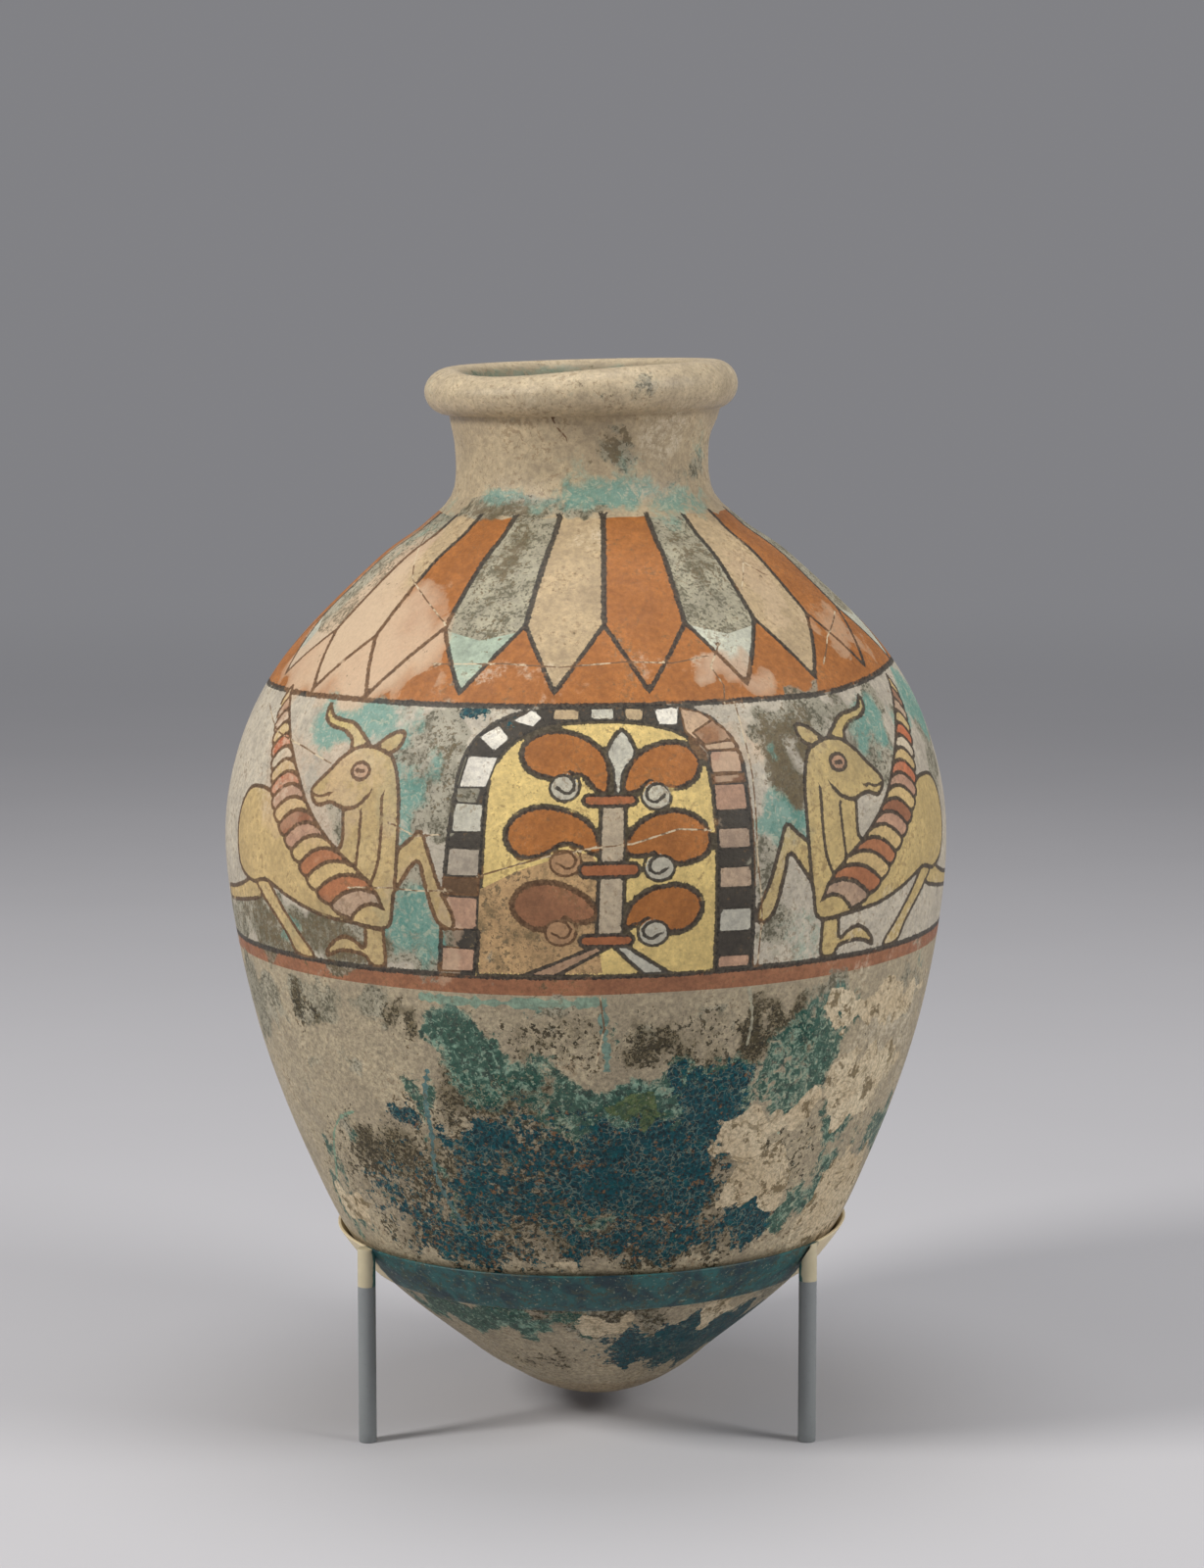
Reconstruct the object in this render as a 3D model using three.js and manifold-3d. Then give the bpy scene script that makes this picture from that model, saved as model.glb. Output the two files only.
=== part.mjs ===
// A glazed pottery storage jar with a blunt point for a base, standing in a three-legged metal cradle.
// Millimetres, +Z up. The origin is on the floor, under the middle of the jar's widest circle.
// The front of the jar, with its painted panel, faces -Y.

import * as THREE from "three";
import { mergeVertices } from "three/addons/utils/BufferGeometryUtils.js";
import Module from "manifold-3d";

const wasm = await Module();
wasm.setup();

// Driving dimensions of the jar's outside. Each rise is the height above the station before it,
// from the jar's lowest point up through the crease over its knob to the top of its neck.
const knobDepth = 12;
const creaseRadius = 36;
const flankRise = 11;
const flankRadius = 51;
const seatRise = 39;
const seatRadius = 95;
const lowerBellyRise = 43;
const lowerBellyRadius = 118.5;
const middleRise = 60;
const middleRadius = 140;
const bellyRise = 67;
const bellyRadius = 150.5;
const upperBellyRise = 45;
const upperBellyRadius = 145;
const shoulderRise = 39;
const shoulderRadius = 125.5;
const slopeRise = 39;
const slopeRadius = 87.5;
const neckBaseRise = 16;
const neckBaseRadius = 66;
const waistRise = 15;
const waistRadius = 53.3;
const neckTopRise = 30.5;
const neckTopRadius = 53.6;

// The rim is a thick rolled ring, set a little outwards of the neck. The wall thins towards the neck.
const rollRadius = 10;
const rollOffset = 1.4;
const bodyWall = 9;
const neckWall = 7.5;
const floorThickness = 18;

// Made by hand: the knob sits a little off to the right, and the rim dips at the front left.
const knobShift = 1.6;
const rimDip = 1.3;
const rimDipAzimuth = -50;
const rimDipReach = 60;

// Driving dimensions of the cradle: a band bent round the jar, and three round legs. The height of the
// band's top edge is above the jar's lowest point, which hangs clear of the floor.
const tipClearance = 6.5;
const jarLean = 0.7;
const bandWidth = 18;
const bandTopHeight = 76.5;
const bandThickness = 1.6;
const bandClearance = 0.4;
const bandFlare = 1;
const legRadius = 3.7;
const legInset = 1.2;
const legNotchClearance = 0.3;
const leftLegAzimuth = -58;
const rightLegAzimuth = 58.5;
const backLegAzimuth = 180;

// How finely the round forms are divided. The outside and inside steps are those between two stations.
const segments = 60;
const outsideSteps = 3;
const knobSteps = 4;
const rollSteps = 9;
const insideSteps = 2;
const bandSteps = 4;
const legSegments = 24;

const radians = THREE.MathUtils.degToRad;

// The azimuth is 0 at the front and grows towards +X.
const atAzimuth = (radius, azimuth, z) =>
  new THREE.Vector3(radius * Math.sin(radians(azimuth)), -radius * Math.cos(radians(azimuth)), z);

// The outside from the crease over the knob to the top of the neck, as radius and height.
const stations = [
  [creaseRadius, knobDepth],
  [flankRadius, flankRise],
  [seatRadius, seatRise],
  [lowerBellyRadius, lowerBellyRise],
  [middleRadius, middleRise],
  [bellyRadius, bellyRise],
  [upperBellyRadius, upperBellyRise],
  [shoulderRadius, shoulderRise],
  [slopeRadius, slopeRise],
  [neckBaseRadius, neckBaseRise],
  [waistRadius, waistRise],
  [neckTopRadius, neckTopRise],
];
let reached = 0;
const outsideCurve = new THREE.SplineCurve(
  stations.map(([radius, rise]) => {
    reached += rise;
    return new THREE.Vector2(radius, reached);
  }),
);
const neckTopHeight = reached;
const bellyHeight = knobDepth + flankRise + seatRise + lowerBellyRise + middleRise + bellyRise;

// The roll springs from the top of the neck, so its own size and place fix the jar's height.
const rollCentre = new THREE.Vector2(
  neckTopRadius + rollOffset,
  neckTopHeight + Math.sqrt(rollRadius * rollRadius - rollOffset * rollOffset),
);
const jarHeight = rollCentre.y + rollRadius;
const rimRadius = rollCentre.x + rollRadius;

// The outside radius at a height, read off the curve by halving.
function outsideRadius(height) {
  let low = 0;
  let high = 1;
  for (let i = 0; i < 40; i++) {
    const middle = (low + high) / 2;
    if (outsideCurve.getPoint(middle).y < height) low = middle;
    else high = middle;
  }
  return outsideCurve.getPoint(low).x;
}

// The blunt knob under the crease, a bowl whose depth grows with the square of its radius.
function knobPoints() {
  const points = [];
  for (let i = 0; i < knobSteps; i++) {
    const share = i / knobSteps;
    points.push(new THREE.Vector2(creaseRadius * share, knobDepth * share * share));
  }
  return points;
}

// The rolled rim, from the neck round its outer side and over the top to the mouth.
function rollPoints() {
  const start = Math.asin(rollOffset / rollRadius) + Math.PI / 2;
  const points = [];
  for (let i = 1; i <= rollSteps; i++) {
    const angle = THREE.MathUtils.lerp(-start, Math.PI, i / rollSteps);
    const point = new THREE.Vector2(rollRadius * Math.cos(angle), rollRadius * Math.sin(angle));
    points.push(point.add(rollCentre));
  }
  return points;
}

// The inside, from under the rim down to the floor of the jar, a wall's thickness in from the outside.
function insidePoints() {
  const points = [];
  const steps = insideSteps * (stations.length - 1);
  for (let i = steps; i >= 0; i--) {
    const outer = outsideCurve.getPoint(i / steps);
    const along = outsideCurve.getTangent(i / steps);
    const wall = THREE.MathUtils.lerp(bodyWall, neckWall, Math.pow(outer.y / jarHeight, 2));
    const inner = new THREE.Vector2(outer.x - wall * along.y, outer.y + wall * along.x);
    const last = points.at(-1);
    if (inner.y > floorThickness && (!last || inner.y < last.y)) points.push(inner);
  }
  points.push(new THREE.Vector2(0, floorThickness));
  return points;
}

function jarProfile() {
  const outside = outsideCurve.getPoints(outsideSteps * (stations.length - 1));
  return [...knobPoints(), ...outside, ...rollPoints(), ...insidePoints()];
}

// A closed solid of revolution about Z, from a profile of radius and height that runs outside upwards.
function revolve(profile) {
  const geometry = new THREE.LatheGeometry([...profile], segments);
  geometry.rotateX(Math.PI / 2);
  return geometry;
}

function merged(geometry) {
  geometry.deleteAttribute("normal");
  geometry.deleteAttribute("uv");
  return mergeVertices(geometry, 1e-4);
}

function makeUneven(geometry) {
  const position = geometry.getAttribute("position");
  const low = atAzimuth(1, rimDipAzimuth, 0);
  for (let i = 0; i < position.count; i++) {
    const point = new THREE.Vector3().fromBufferAttribute(position, i);
    const upper = THREE.MathUtils.smoothstep(point.z, jarHeight - rimDipReach, jarHeight);
    const lower = 1 - THREE.MathUtils.smoothstep(point.z, knobDepth, knobDepth + flankRise);
    const towardsLow = (point.x * low.x + point.y * low.y) / rimRadius;
    position.setXYZ(i, point.x + knobShift * lower, point.y, point.z - rimDip * upper * towardsLow);
  }
}

function jarGeometry() {
  const geometry = merged(revolve(jarProfile()));
  makeUneven(geometry);
  geometry.computeVertexNormals();
  return geometry;
}

// The band follows the jar's slope with a clearance inside it, and stands off a little more at its top.
function bandProfile() {
  const inner = [];
  const outer = [];
  for (let i = 0; i <= bandSteps; i++) {
    const share = i / bandSteps;
    const height = bandTopHeight - bandWidth * (1 - share);
    const radius = outsideRadius(height) + bandClearance + bandFlare * share;
    inner.push(new THREE.Vector2(radius, height));
    outer.push(new THREE.Vector2(radius + bandThickness, height));
  }
  return { inner, outer };
}

function bandGeometry() {
  const { inner, outer } = bandProfile();
  const geometry = merged(revolve([...outer, ...inner.reverse(), outer[0]]));
  geometry.computeVertexNormals();
  return geometry;
}

function toSolid(geometry) {
  const mesh = new wasm.Mesh({
    numProp: 3,
    vertProperties: geometry.getAttribute("position").array,
    triVerts: new Uint32Array(geometry.index.array),
  });
  return new wasm.Manifold(mesh);
}

function toGeometry(solid) {
  const { vertProperties, triVerts } = solid.getMesh();
  const geometry = new THREE.BufferGeometry();
  geometry.setAttribute("position", new THREE.BufferAttribute(vertProperties, 3));
  geometry.setIndex(new THREE.BufferAttribute(triVerts, 1));
  geometry.computeVertexNormals();
  return geometry;
}

// The jar and the band lean together, about the middle of the band's top edge.
const pivotHeight = tipClearance + bandTopHeight;
const pivotX = (bellyHeight - bandTopHeight) * Math.sin(radians(jarLean));
const leaning = new THREE.Group();
leaning.position.set(pivotX, 0, pivotHeight);
leaning.rotation.y = -radians(jarLean);
leaning.updateMatrix();

// Everything within the band's outer face, as the legs must not reach into it.
function bandEnvelope(outer) {
  const grown = outer.map((p) => new THREE.Vector2(p.x + legNotchClearance, p.y));
  const top = new THREE.Vector2(grown.at(-1).x + legRadius, grown.at(-1).y + 2 * legRadius);
  const floor = new THREE.Vector2(0, grown[0].y);
  const lid = new THREE.Vector2(0, top.y);
  const geometry = merged(revolve([floor, ...grown, top, lid]));
  geometry.translate(0, 0, -bandTopHeight);
  geometry.applyMatrix4(leaning.matrix);
  return toSolid(geometry);
}

// A leg stands upright just within the band's top outer edge and ends level with it, notched to fit.
function legGeometry(azimuth) {
  const { outer } = bandProfile();
  const place = atAzimuth(outer.at(-1).x - legInset, azimuth, 0);
  const height = pivotHeight + (place.x - pivotX) * Math.sin(radians(jarLean));
  const geometry = new THREE.CylinderGeometry(legRadius, legRadius, height, legSegments);
  geometry.rotateX(Math.PI / 2);
  geometry.translate(place.x, place.y, height / 2);
  return toGeometry(toSolid(merged(geometry)).subtract(bandEnvelope(outer)));
}

const glazed = new THREE.MeshStandardMaterial({ color: "#b3a68c", roughness: 0.55, metalness: 0 });
const bandPaint = new THREE.MeshStandardMaterial({ color: "#2f5f62", roughness: 0.5, metalness: 0 });
const legPaint = new THREE.MeshStandardMaterial({ color: "#75797a", roughness: 0.45, metalness: 0 });

function piece(name, geometry, material) {
  const mesh = new THREE.Mesh(geometry, material);
  mesh.name = name;
  return mesh;
}

const jar = piece("jar", jarGeometry(), glazed);
const band = piece("cradle_band", bandGeometry(), bandPaint);
for (const mesh of [jar, band]) {
  mesh.position.z = -bandTopHeight;
  leaning.add(mesh);
}

const object = new THREE.Group();
object.add(leaning);
object.add(piece("left_leg", legGeometry(leftLegAzimuth), legPaint));
object.add(piece("right_leg", legGeometry(rightLegAzimuth), legPaint));
object.add(piece("back_leg", legGeometry(backLegAzimuth), legPaint));

export default object;
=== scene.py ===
"""A painted and glazed storage jar in its three-legged metal cradle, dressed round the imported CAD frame.

Lengths are in millimetres and angles in degrees until a mesh is made, which is in metres. A place on
the jar is (azimuth, height): the azimuth is 0 at the front and grows towards +X, and the height is
above the jar's lowest point. The painting is laid out in a plane where the jar's wall is unrolled
without changing any angle, so a triangulation of that plane suits the wall itself.
"""

import math
import random

import bmesh
import bpy
import numpy as np
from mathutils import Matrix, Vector, kdtree
from mathutils.geometry import delaunay_2d_cdt


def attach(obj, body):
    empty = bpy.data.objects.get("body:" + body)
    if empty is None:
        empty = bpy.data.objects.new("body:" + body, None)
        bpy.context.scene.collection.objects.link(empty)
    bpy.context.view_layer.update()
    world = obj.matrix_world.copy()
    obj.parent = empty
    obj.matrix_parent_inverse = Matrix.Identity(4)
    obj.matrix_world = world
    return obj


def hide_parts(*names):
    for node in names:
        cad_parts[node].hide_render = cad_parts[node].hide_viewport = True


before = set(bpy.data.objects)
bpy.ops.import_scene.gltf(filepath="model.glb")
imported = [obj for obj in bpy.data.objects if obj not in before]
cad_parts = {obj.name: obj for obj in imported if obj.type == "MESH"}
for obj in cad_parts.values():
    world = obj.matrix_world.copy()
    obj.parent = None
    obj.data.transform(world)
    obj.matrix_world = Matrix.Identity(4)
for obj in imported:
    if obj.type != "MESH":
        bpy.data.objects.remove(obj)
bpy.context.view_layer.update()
SEED = 11
random.seed(SEED)
scatter = np.random.default_rng(SEED)

# The jar's shape, as the CAD has it.

STATIONS = (
    (36, 12), (51, 11), (95, 39), (118.5, 43), (140, 60), (150.5, 67),
    (145, 45), (125.5, 39), (87.5, 39), (66, 16), (53.3, 15), (53.6, 30.5),
)  # radius, and rise above the station before
CREASE_RADIUS, KNOB_DEPTH, KNOB_SHIFT, FLANK_RISE = 36, 12, 1.6, 11
ROLL_RADIUS, ROLL_OFFSET = 10, 1.4
BODY_WALL, NECK_WALL, FLOOR_THICKNESS = 9, 7.5, 18
RIM_DIP, RIM_DIP_AZIMUTH, RIM_DIP_REACH = 1.3, -50, 60
TIP_CLEARANCE, LEAN, BAND_TOP, BELLY = 6.5, 0.7, 76.5, 232
BAND_WIDTH, BAND_THICKNESS, BAND_CLEARANCE, BAND_FLARE = 18, 1.6, 0.4, 1
LEG_RADIUS, LEG_INSET, LEG_NOTCH = 3.7, 1.2, 0.3
LEG_AZIMUTHS = {"left": -58, "right": 58.5, "back": 180}
RING_STEPS = 144
MM = 0.001


def spline(points, steps):
    """Points along the curve that three.js's SplineCurve draws through the given ones."""
    points = np.asarray(points, float)
    p = np.vstack([points[:1], points, points[-1:]])
    t = np.linspace(0, 1, steps, endpoint=False)[:, None]
    runs = []
    for p0, p1, p2, p3 in zip(p, p[1:], p[2:], p[3:]):
        v0, v1 = (p2 - p0) / 2, (p3 - p1) / 2
        cubed, squared = 2 * p1 - 2 * p2 + v0 + v1, 3 * p2 - 3 * p1 - 2 * v0 - v1
        runs.append(cubed * t**3 + squared * t**2 + v0 * t + p1)
    return np.vstack(runs + [points[-1:]])


def smooth(x, low, high):
    t = np.clip((np.asarray(x, float) - low) / (high - low), 0, 1)
    return t * t * (3 - 2 * t)


radii, rises = np.array(STATIONS, float).T
PROFILE = spline(np.column_stack([radii, np.cumsum(rises)]), 40)
WALL_R, WALL_H = PROFILE.T
steps_along = np.hypot(np.diff(WALL_R), np.diff(WALL_H))
ARC = np.concatenate([[0], np.cumsum(steps_along)])
PLANE_V = np.concatenate([[0], np.cumsum(steps_along * 2 / (WALL_R[1:] + WALL_R[:-1]))])
NECK_TOP = WALL_H[-1]
ROLL_R = WALL_R[-1] + ROLL_OFFSET
ROLL_H = NECK_TOP + math.sqrt(ROLL_RADIUS**2 - ROLL_OFFSET**2)
JAR_HEIGHT = ROLL_H + ROLL_RADIUS
RIM_RADIUS = ROLL_R + ROLL_RADIUS


def to_plane(places):
    """The places, as (azimuth, height), in the unrolled plane."""
    places = np.asarray(places, float).reshape(-1, 2)
    return np.column_stack([np.radians(places[:, 0]), np.interp(places[:, 1], WALL_H, PLANE_V)])


def plane_radius(v):
    return np.interp(v, PLANE_V, WALL_R)


def lean(x, z):
    """The jar and the band lean together, about the middle of the band's top edge."""
    turn = math.radians(LEAN)
    pivot_x, pivot_z = (BELLY - BAND_TOP) * math.sin(turn), TIP_CLEARANCE + BAND_TOP
    z = z - BAND_TOP
    across, up = math.cos(turn), math.sin(turn)
    return x * across - z * up + pivot_x, x * up + z * across + pivot_z


def stand(azimuth, height, radius):
    """Positions in millimetres in the shared frame, with the knob's shift, the rim's dip and the lean."""
    a = np.radians(azimuth)
    low = math.radians(RIM_DIP_AZIMUTH)
    x, y = radius * np.sin(a), -radius * np.cos(a)
    towards_low = (x * math.sin(low) - y * math.cos(low)) / RIM_RADIUS
    z = height - RIM_DIP * smooth(height, JAR_HEIGHT - RIM_DIP_REACH, JAR_HEIGHT) * towards_low
    x = x + KNOB_SHIFT * (1 - smooth(height, KNOB_DEPTH, KNOB_DEPTH + FLANK_RISE))
    x, z = lean(x, z)
    return np.column_stack([x, y, z])


# Colours, as sRGB values of 0 to 255.

ORANGE, TERRACOTTA = (170, 108, 55), (156, 105, 75)
YELLOW, STRAW, CREAM, PINK = (223, 196, 128), (204, 176, 124), (187, 164, 129), (190, 152, 126)
WHITE, GREY_WHITE, GREY = (234, 228, 214), (198, 194, 178), (172, 165, 142)
PALE_TEAL, PALE_GREY, INK, INSIDE = (170, 184, 164), (198, 198, 180), (70, 64, 56), (150, 132, 104)
FRIEZE, BEIGE, NECK = (194, 184, 166), (172, 158, 132), (184, 166, 136)
ROLL, TIP = (198, 180, 150), (168, 150, 122)


def linear(rgb):
    c = np.asarray(rgb, float) / 255
    return tuple(np.where(c <= 0.04045, c / 12.92, ((c + 0.055) / 1.055) ** 2.4))


# The painting, laid out in the plane.

paths = []  # runs of plane points, each with a half width in mm (0 for a bare edge) and a brownness
fills = []  # closed runs of plane points, with a colour and how mottled it is, or KEPT
KEPT = 2.0  # stands for paint that the stains behind it leave alone
HAIRLINE = 2.0  # the brownness that stands for a pale crack
STROKE_STEP = 1.7
SEAM_REACH = math.pi + 0.1
FOOTED = "footed"  # rounded off, but with straight feet and a straight run between them


def flow(places, rounded=True, closed=False):
    """An even run of plane points through the places, rounded off or with its corners kept."""
    p = to_plane(places)
    if rounded == FOOTED:
        p, rounded = np.vstack([spline(p, 4), p[:1]]), False
    elif closed:
        p = np.vstack([p, p[:1]])
    if rounded and len(p) > 2:
        if closed:
            p = spline(np.vstack([p[-2:-1], p, p[1:2]]), 12)[12:-12]
        else:
            p = spline(p, 12)
        lengths = np.hypot(*np.diff(p, axis=0).T) * plane_radius((p[1:, 1] + p[:-1, 1]) / 2)
        s = np.concatenate([[0], np.cumsum(lengths)])
        even = np.linspace(0, s[-1], max(3, round(s[-1] / STROKE_STEP) + 1))
        return np.column_stack([np.interp(even, s, p[:, 0]), np.interp(even, s, p[:, 1])])
    runs = []
    for a, b in zip(p, p[1:]):
        length = np.hypot(*(b - a)) * plane_radius((a[1] + b[1]) / 2)
        n = max(1, round(length / STROKE_STEP))
        runs.append(a + (b - a) * np.arange(n)[:, None] / n)
    return np.vstack(runs + [p[-1:]])


def inside(points, polygon):
    """Which of the points lie in the closed polygon."""
    hit = np.zeros(len(points), bool)
    near = np.flatnonzero(np.all((points >= polygon.min(0)) & (points <= polygon.max(0)), axis=1))
    if len(near) == 0:
        return hit
    x, y = points[near, 0][:, None], points[near, 1][:, None]
    x0, y0 = polygon.T
    x1, y1 = np.roll(x0, -1), np.roll(y0, -1)
    crosses = (y0 > y) != (y1 > y)
    with np.errstate(divide="ignore", invalid="ignore"):
        left = x < (x1 - x0) * (y - y0) / (y1 - y0) + x0
    hit[near] = np.count_nonzero(crosses & left, axis=1) % 2 == 1
    return hit


def round_the_seam(run):
    """The run itself, and its copy a whole turn away where it crosses the seam at the back."""
    copies = [run + (turn, 0) for turn in (-2 * math.pi, 0, 2 * math.pi)]
    return [c for c in copies if c[:, 0].max() > -SEAM_REACH and c[:, 0].min() < SEAM_REACH]


def line(places, half=0.8, brown=0.0, rounded=True, closed=False):
    for run in round_the_seam(flow(places, rounded, closed)):
        paths.append({"run": run, "half": half, "brown": brown, "seen": np.ones(len(run), bool)})


def fill(places, colour, mottle=0.0, rounded=True):
    """A patch of colour, which hides what was drawn before and whose edge is drawn by a line of its own."""
    for run in round_the_seam(flow(places, rounded, closed=True)):
        for path in paths:
            path["seen"] &= ~inside(path["run"], run)
        fills.append((run, linear(colour), mottle))


def shape(places, colour, half=0.8, brown=0.0, mottle=KEPT, rounded=True):
    """A patch of colour with its outline. With no width, the outline is only the patch's edge."""
    fill(places, colour, mottle, rounded)
    line(places, half, brown, rounded, closed=True)


def ring_of(height, wander, seed, step=4):
    """A hand-drawn line right round the jar at a height, closed across the seam."""
    rng = random.Random(seed)
    waves = [(k, rng.uniform(0, 2 * math.pi), rng.uniform(0.3, 1) * wander / k**0.5)
             for k in (1, 2, 3, 5, 9, 14)]
    azimuths = np.arange(-188, 188.1, step)
    rise = sum(size * np.sin(k * np.radians(azimuths) + phase) for k, phase, size in waves)
    level = np.array([height(a) for a in azimuths]) if callable(height) else height
    return np.column_stack([azimuths, level + rise])


def shoulder_level(azimuth):
    return 307 + 5.5 * float(smooth(azimuth, 40, 80)) * float(1 - smooth(azimuth, 100, 150))


bottom = ring_of(KNOB_DEPTH + 0.01, 0, 1)
band_edge = ring_of(198, 0.4, 5)
frieze_line = ring_of(204.5, 0.3, 4)
shoulder_line = ring_of(shoulder_level, 0.35, 3)
petal_tops = ring_of(375.8, 0.5, 6)
top = ring_of(NECK_TOP - 0.01, 0, 1)

# Belts of colour between two lines that run right round the jar.
for lower, upper, colour, mottle in (
    (bottom, band_edge, BEIGE, 0),
    (band_edge, frieze_line, TERRACOTTA, 0.1),
    (frieze_line, shoulder_line, FRIEZE, 0.2),
    (shoulder_line, petal_tops, ORANGE, 0),
    (petal_tops, top, NECK, 0),
):
    fills.append((np.vstack([to_plane(lower), to_plane(upper[::-1])]), linear(colour), mottle))
line(band_edge, 0, rounded=False)
line(petal_tops, 0, rounded=False)

# Twenty-one petals hang round the neck: cream, orange and grey in turn. Each is parted from the next
# by a line that forks at a node into the edges of two pointed tips.
FRONT_NODES = [-62.5, -47, -30, -12, 4.5, 22, 39, 56.5, 74]
FRONT_TIPS = [(-56, 309.5), (-41, 309), (-22, 311.5), (-5, 312), (11.5, 312), (30, 313), (45.5, 313.5),
              (63, 314.5)]
NODE_LEVELS = [331.5, 331, 335]
NODE_LEVEL, TIP_LEVEL, PETAL_COUNT = 336.5, 312.5, 21
PETAL_CYCLE = (CREAM, ORANGE, GREY)
EDGE_DRIFT = ((0.6, 348), (2, 364), (3.6, 375.6))


def petal_nodes():
    """The places where the petals' edges fork, right round the neck, with the first one again at the end."""
    spare = PETAL_COUNT - len(FRONT_TIPS)
    gap = (FRONT_NODES[0] + 360 - FRONT_NODES[-1]) / spare
    azimuths = FRONT_NODES + [FRONT_NODES[-1] + gap * i + random.uniform(-1, 1) for i in range(1, spare)]
    nodes = list(zip(azimuths, NODE_LEVELS + [NODE_LEVEL] * PETAL_COUNT))
    return nodes + [(nodes[0][0] + 360, nodes[0][1])]


def grey_tip(tip, node, following, colour):
    """The paler point of a grey petal."""
    point, left, right = np.array(tip), np.array(node), np.array(following)
    pale = [point, right + (point - right) * 0.1, (left + right) / 2 - (0, 5), left + (point - left) * 0.04]
    fill(pale, colour, 0.1, rounded=False)
    line(pale[1:], 0, rounded=False)


def petals():
    nodes = petal_nodes()
    edges = []
    for index, (node, following) in enumerate(zip(nodes, nodes[1:])):
        middle = (node[0] + following[0]) / 2 - 1
        tip = (middle + random.uniform(-0.8, 0.8), TIP_LEVEL + random.uniform(-1, 1))
        if index < len(FRONT_TIPS):
            tip = FRONT_TIPS[index]
        side, next_side = ([n] + [(n[0] + drift, level) for drift, level in EDGE_DRIFT]
                           for n in (node, following))
        colour = PETAL_CYCLE[index % len(PETAL_CYCLE)]
        fill([tip, *next_side, *reversed(side)], colour, 0.9 if colour is GREY else 0.0, rounded=False)
        if colour is GREY:
            grey_tip(tip, node, following, PALE_TEAL if index < 4 else PALE_GREY)
        edges.append((side, (node, tip, following)))
    for side, fork in edges:
        line(side, 1.15, rounded=False)
        line(fork, 0.95, rounded=False)


petals()
line(shoulder_line, 1.2, rounded=False)
line(frieze_line, 1.15, rounded=False)

# A panel under an arch, with a stylised tree, between two beasts that turn their heads away from it.
# All of it is drawn once at the front and once, turned half round, at the back.

ARCH_OUTSIDE = [
    (-22.6, 204.6), (-21.6, 228), (-20.9, 250), (-20.2, 270), (-19.4, 286), (-17.2, 296), (-12.8, 303),
    (-6, 306.8), (3, 307.4), (13, 307.2), (19, 304.4), (23, 298.2), (25.2, 288), (25.6, 270), (25.5, 240),
    (25.6, 204.6),
]
ARCH_INSIDE = [
    (-16.8, 204.6), (-15.9, 225), (-15.3, 250), (-15.1, 268), (-14.7, 280), (-13.2, 289), (-10, 296),
    (-5.4, 300.3), (0.6, 301.6), (6.6, 301.4), (11.4, 299.8), (15.4, 297), (18.2, 292), (19.5, 285),
    (19.9, 268), (19.7, 240), (19.6, 204.6),
]
# The light blocks of the arch's border: a lower and an upper height up each side, then free shapes
# round the top.
LEFT_BLOCKS = [(206, 215.6, PINK), (222.6, 235.8, PINK), (243.4, 254.4, (178, 166, 148)),
               (260.2, 271.4, GREY_WHITE), (277, 289, WHITE)]
RIGHT_BLOCKS = [(205.8, 210.8, PINK), (220, 229.4, GREY_WHITE), (237.2, 245.6, (184, 160, 136)),
                (252.4, 260.4, (176, 152, 130)), (266.8, 277, PINK), (281, 289.4, PINK)]
TOP_BLOCKS = [([(-16.6, 295.8), (-14, 299.6), (-12.3, 295.4), (-14.3, 291.4)], WHITE),
              ([(-11.4, 302), (-8.5, 305.7), (-7.1, 303), (-8.3, 300.2)], WHITE),
              ([(-4.7, 302.7), (-4.5, 305.9), (-1, 305.9), (-1.1, 302.5)], CREAM),
              ([(1.5, 302.7), (1.6, 306), (4.8, 306), (4.7, 302.4)], GREY_WHITE),
              ([(7.2, 302.2), (7.1, 305.9), (9.8, 305.5), (9.5, 301.7)], CREAM),
              ([(12.6, 300.3), (12.2, 305.2), (15.8, 305.5), (15.2, 300)], WHITE),
              ([(17.6, 297.2), (19.2, 302.8), (22.2, 298.8), (20.4, 292.6)], (206, 186, 162))]
TOP_BLOCK_SIZE, BLOCK_EDGE = 1.22, 0.38
# The border was made good in brown at the upper right, and the panel at the lower left.
MENDED_BORDER = [
    ([(16.6, 297), (16.4, 305.8), (19.6, 304), (23.2, 298), (25.1, 289.6), (19.9, 289.6), (19, 292)],
     (196, 166, 136)),
    ([(17.8, 296.4), (21.6, 300.8), (23.6, 296.6), (24.4, 293), (19.6, 292)], (152, 110, 78)),
    ([(20, 280.4), (25.4, 280.4), (25.5, 277.4), (20, 277.2)], (150, 108, 78)),
    ([(-21.4, 236.2), (-15.9, 236.4), (-15.7, 242.8), (-21.2, 243)], (108, 82, 58)),
]
MENDED_PANEL = [(-16.4, 205.6), (-15.6, 238.6), (-10, 246), (-4, 251), (1.2, 253.4), (2, 240), (2, 205.6)]


def turned(turn, places):
    return [(a + turn, h) for a, h in places]


def edge_azimuth(outline, height):
    """The azimuth of an upright run of outline points at a height."""
    run = sorted(outline, key=lambda place: place[1])
    return float(np.interp(height, [h for _, h in run], [a for a, _ in run]))


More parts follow.
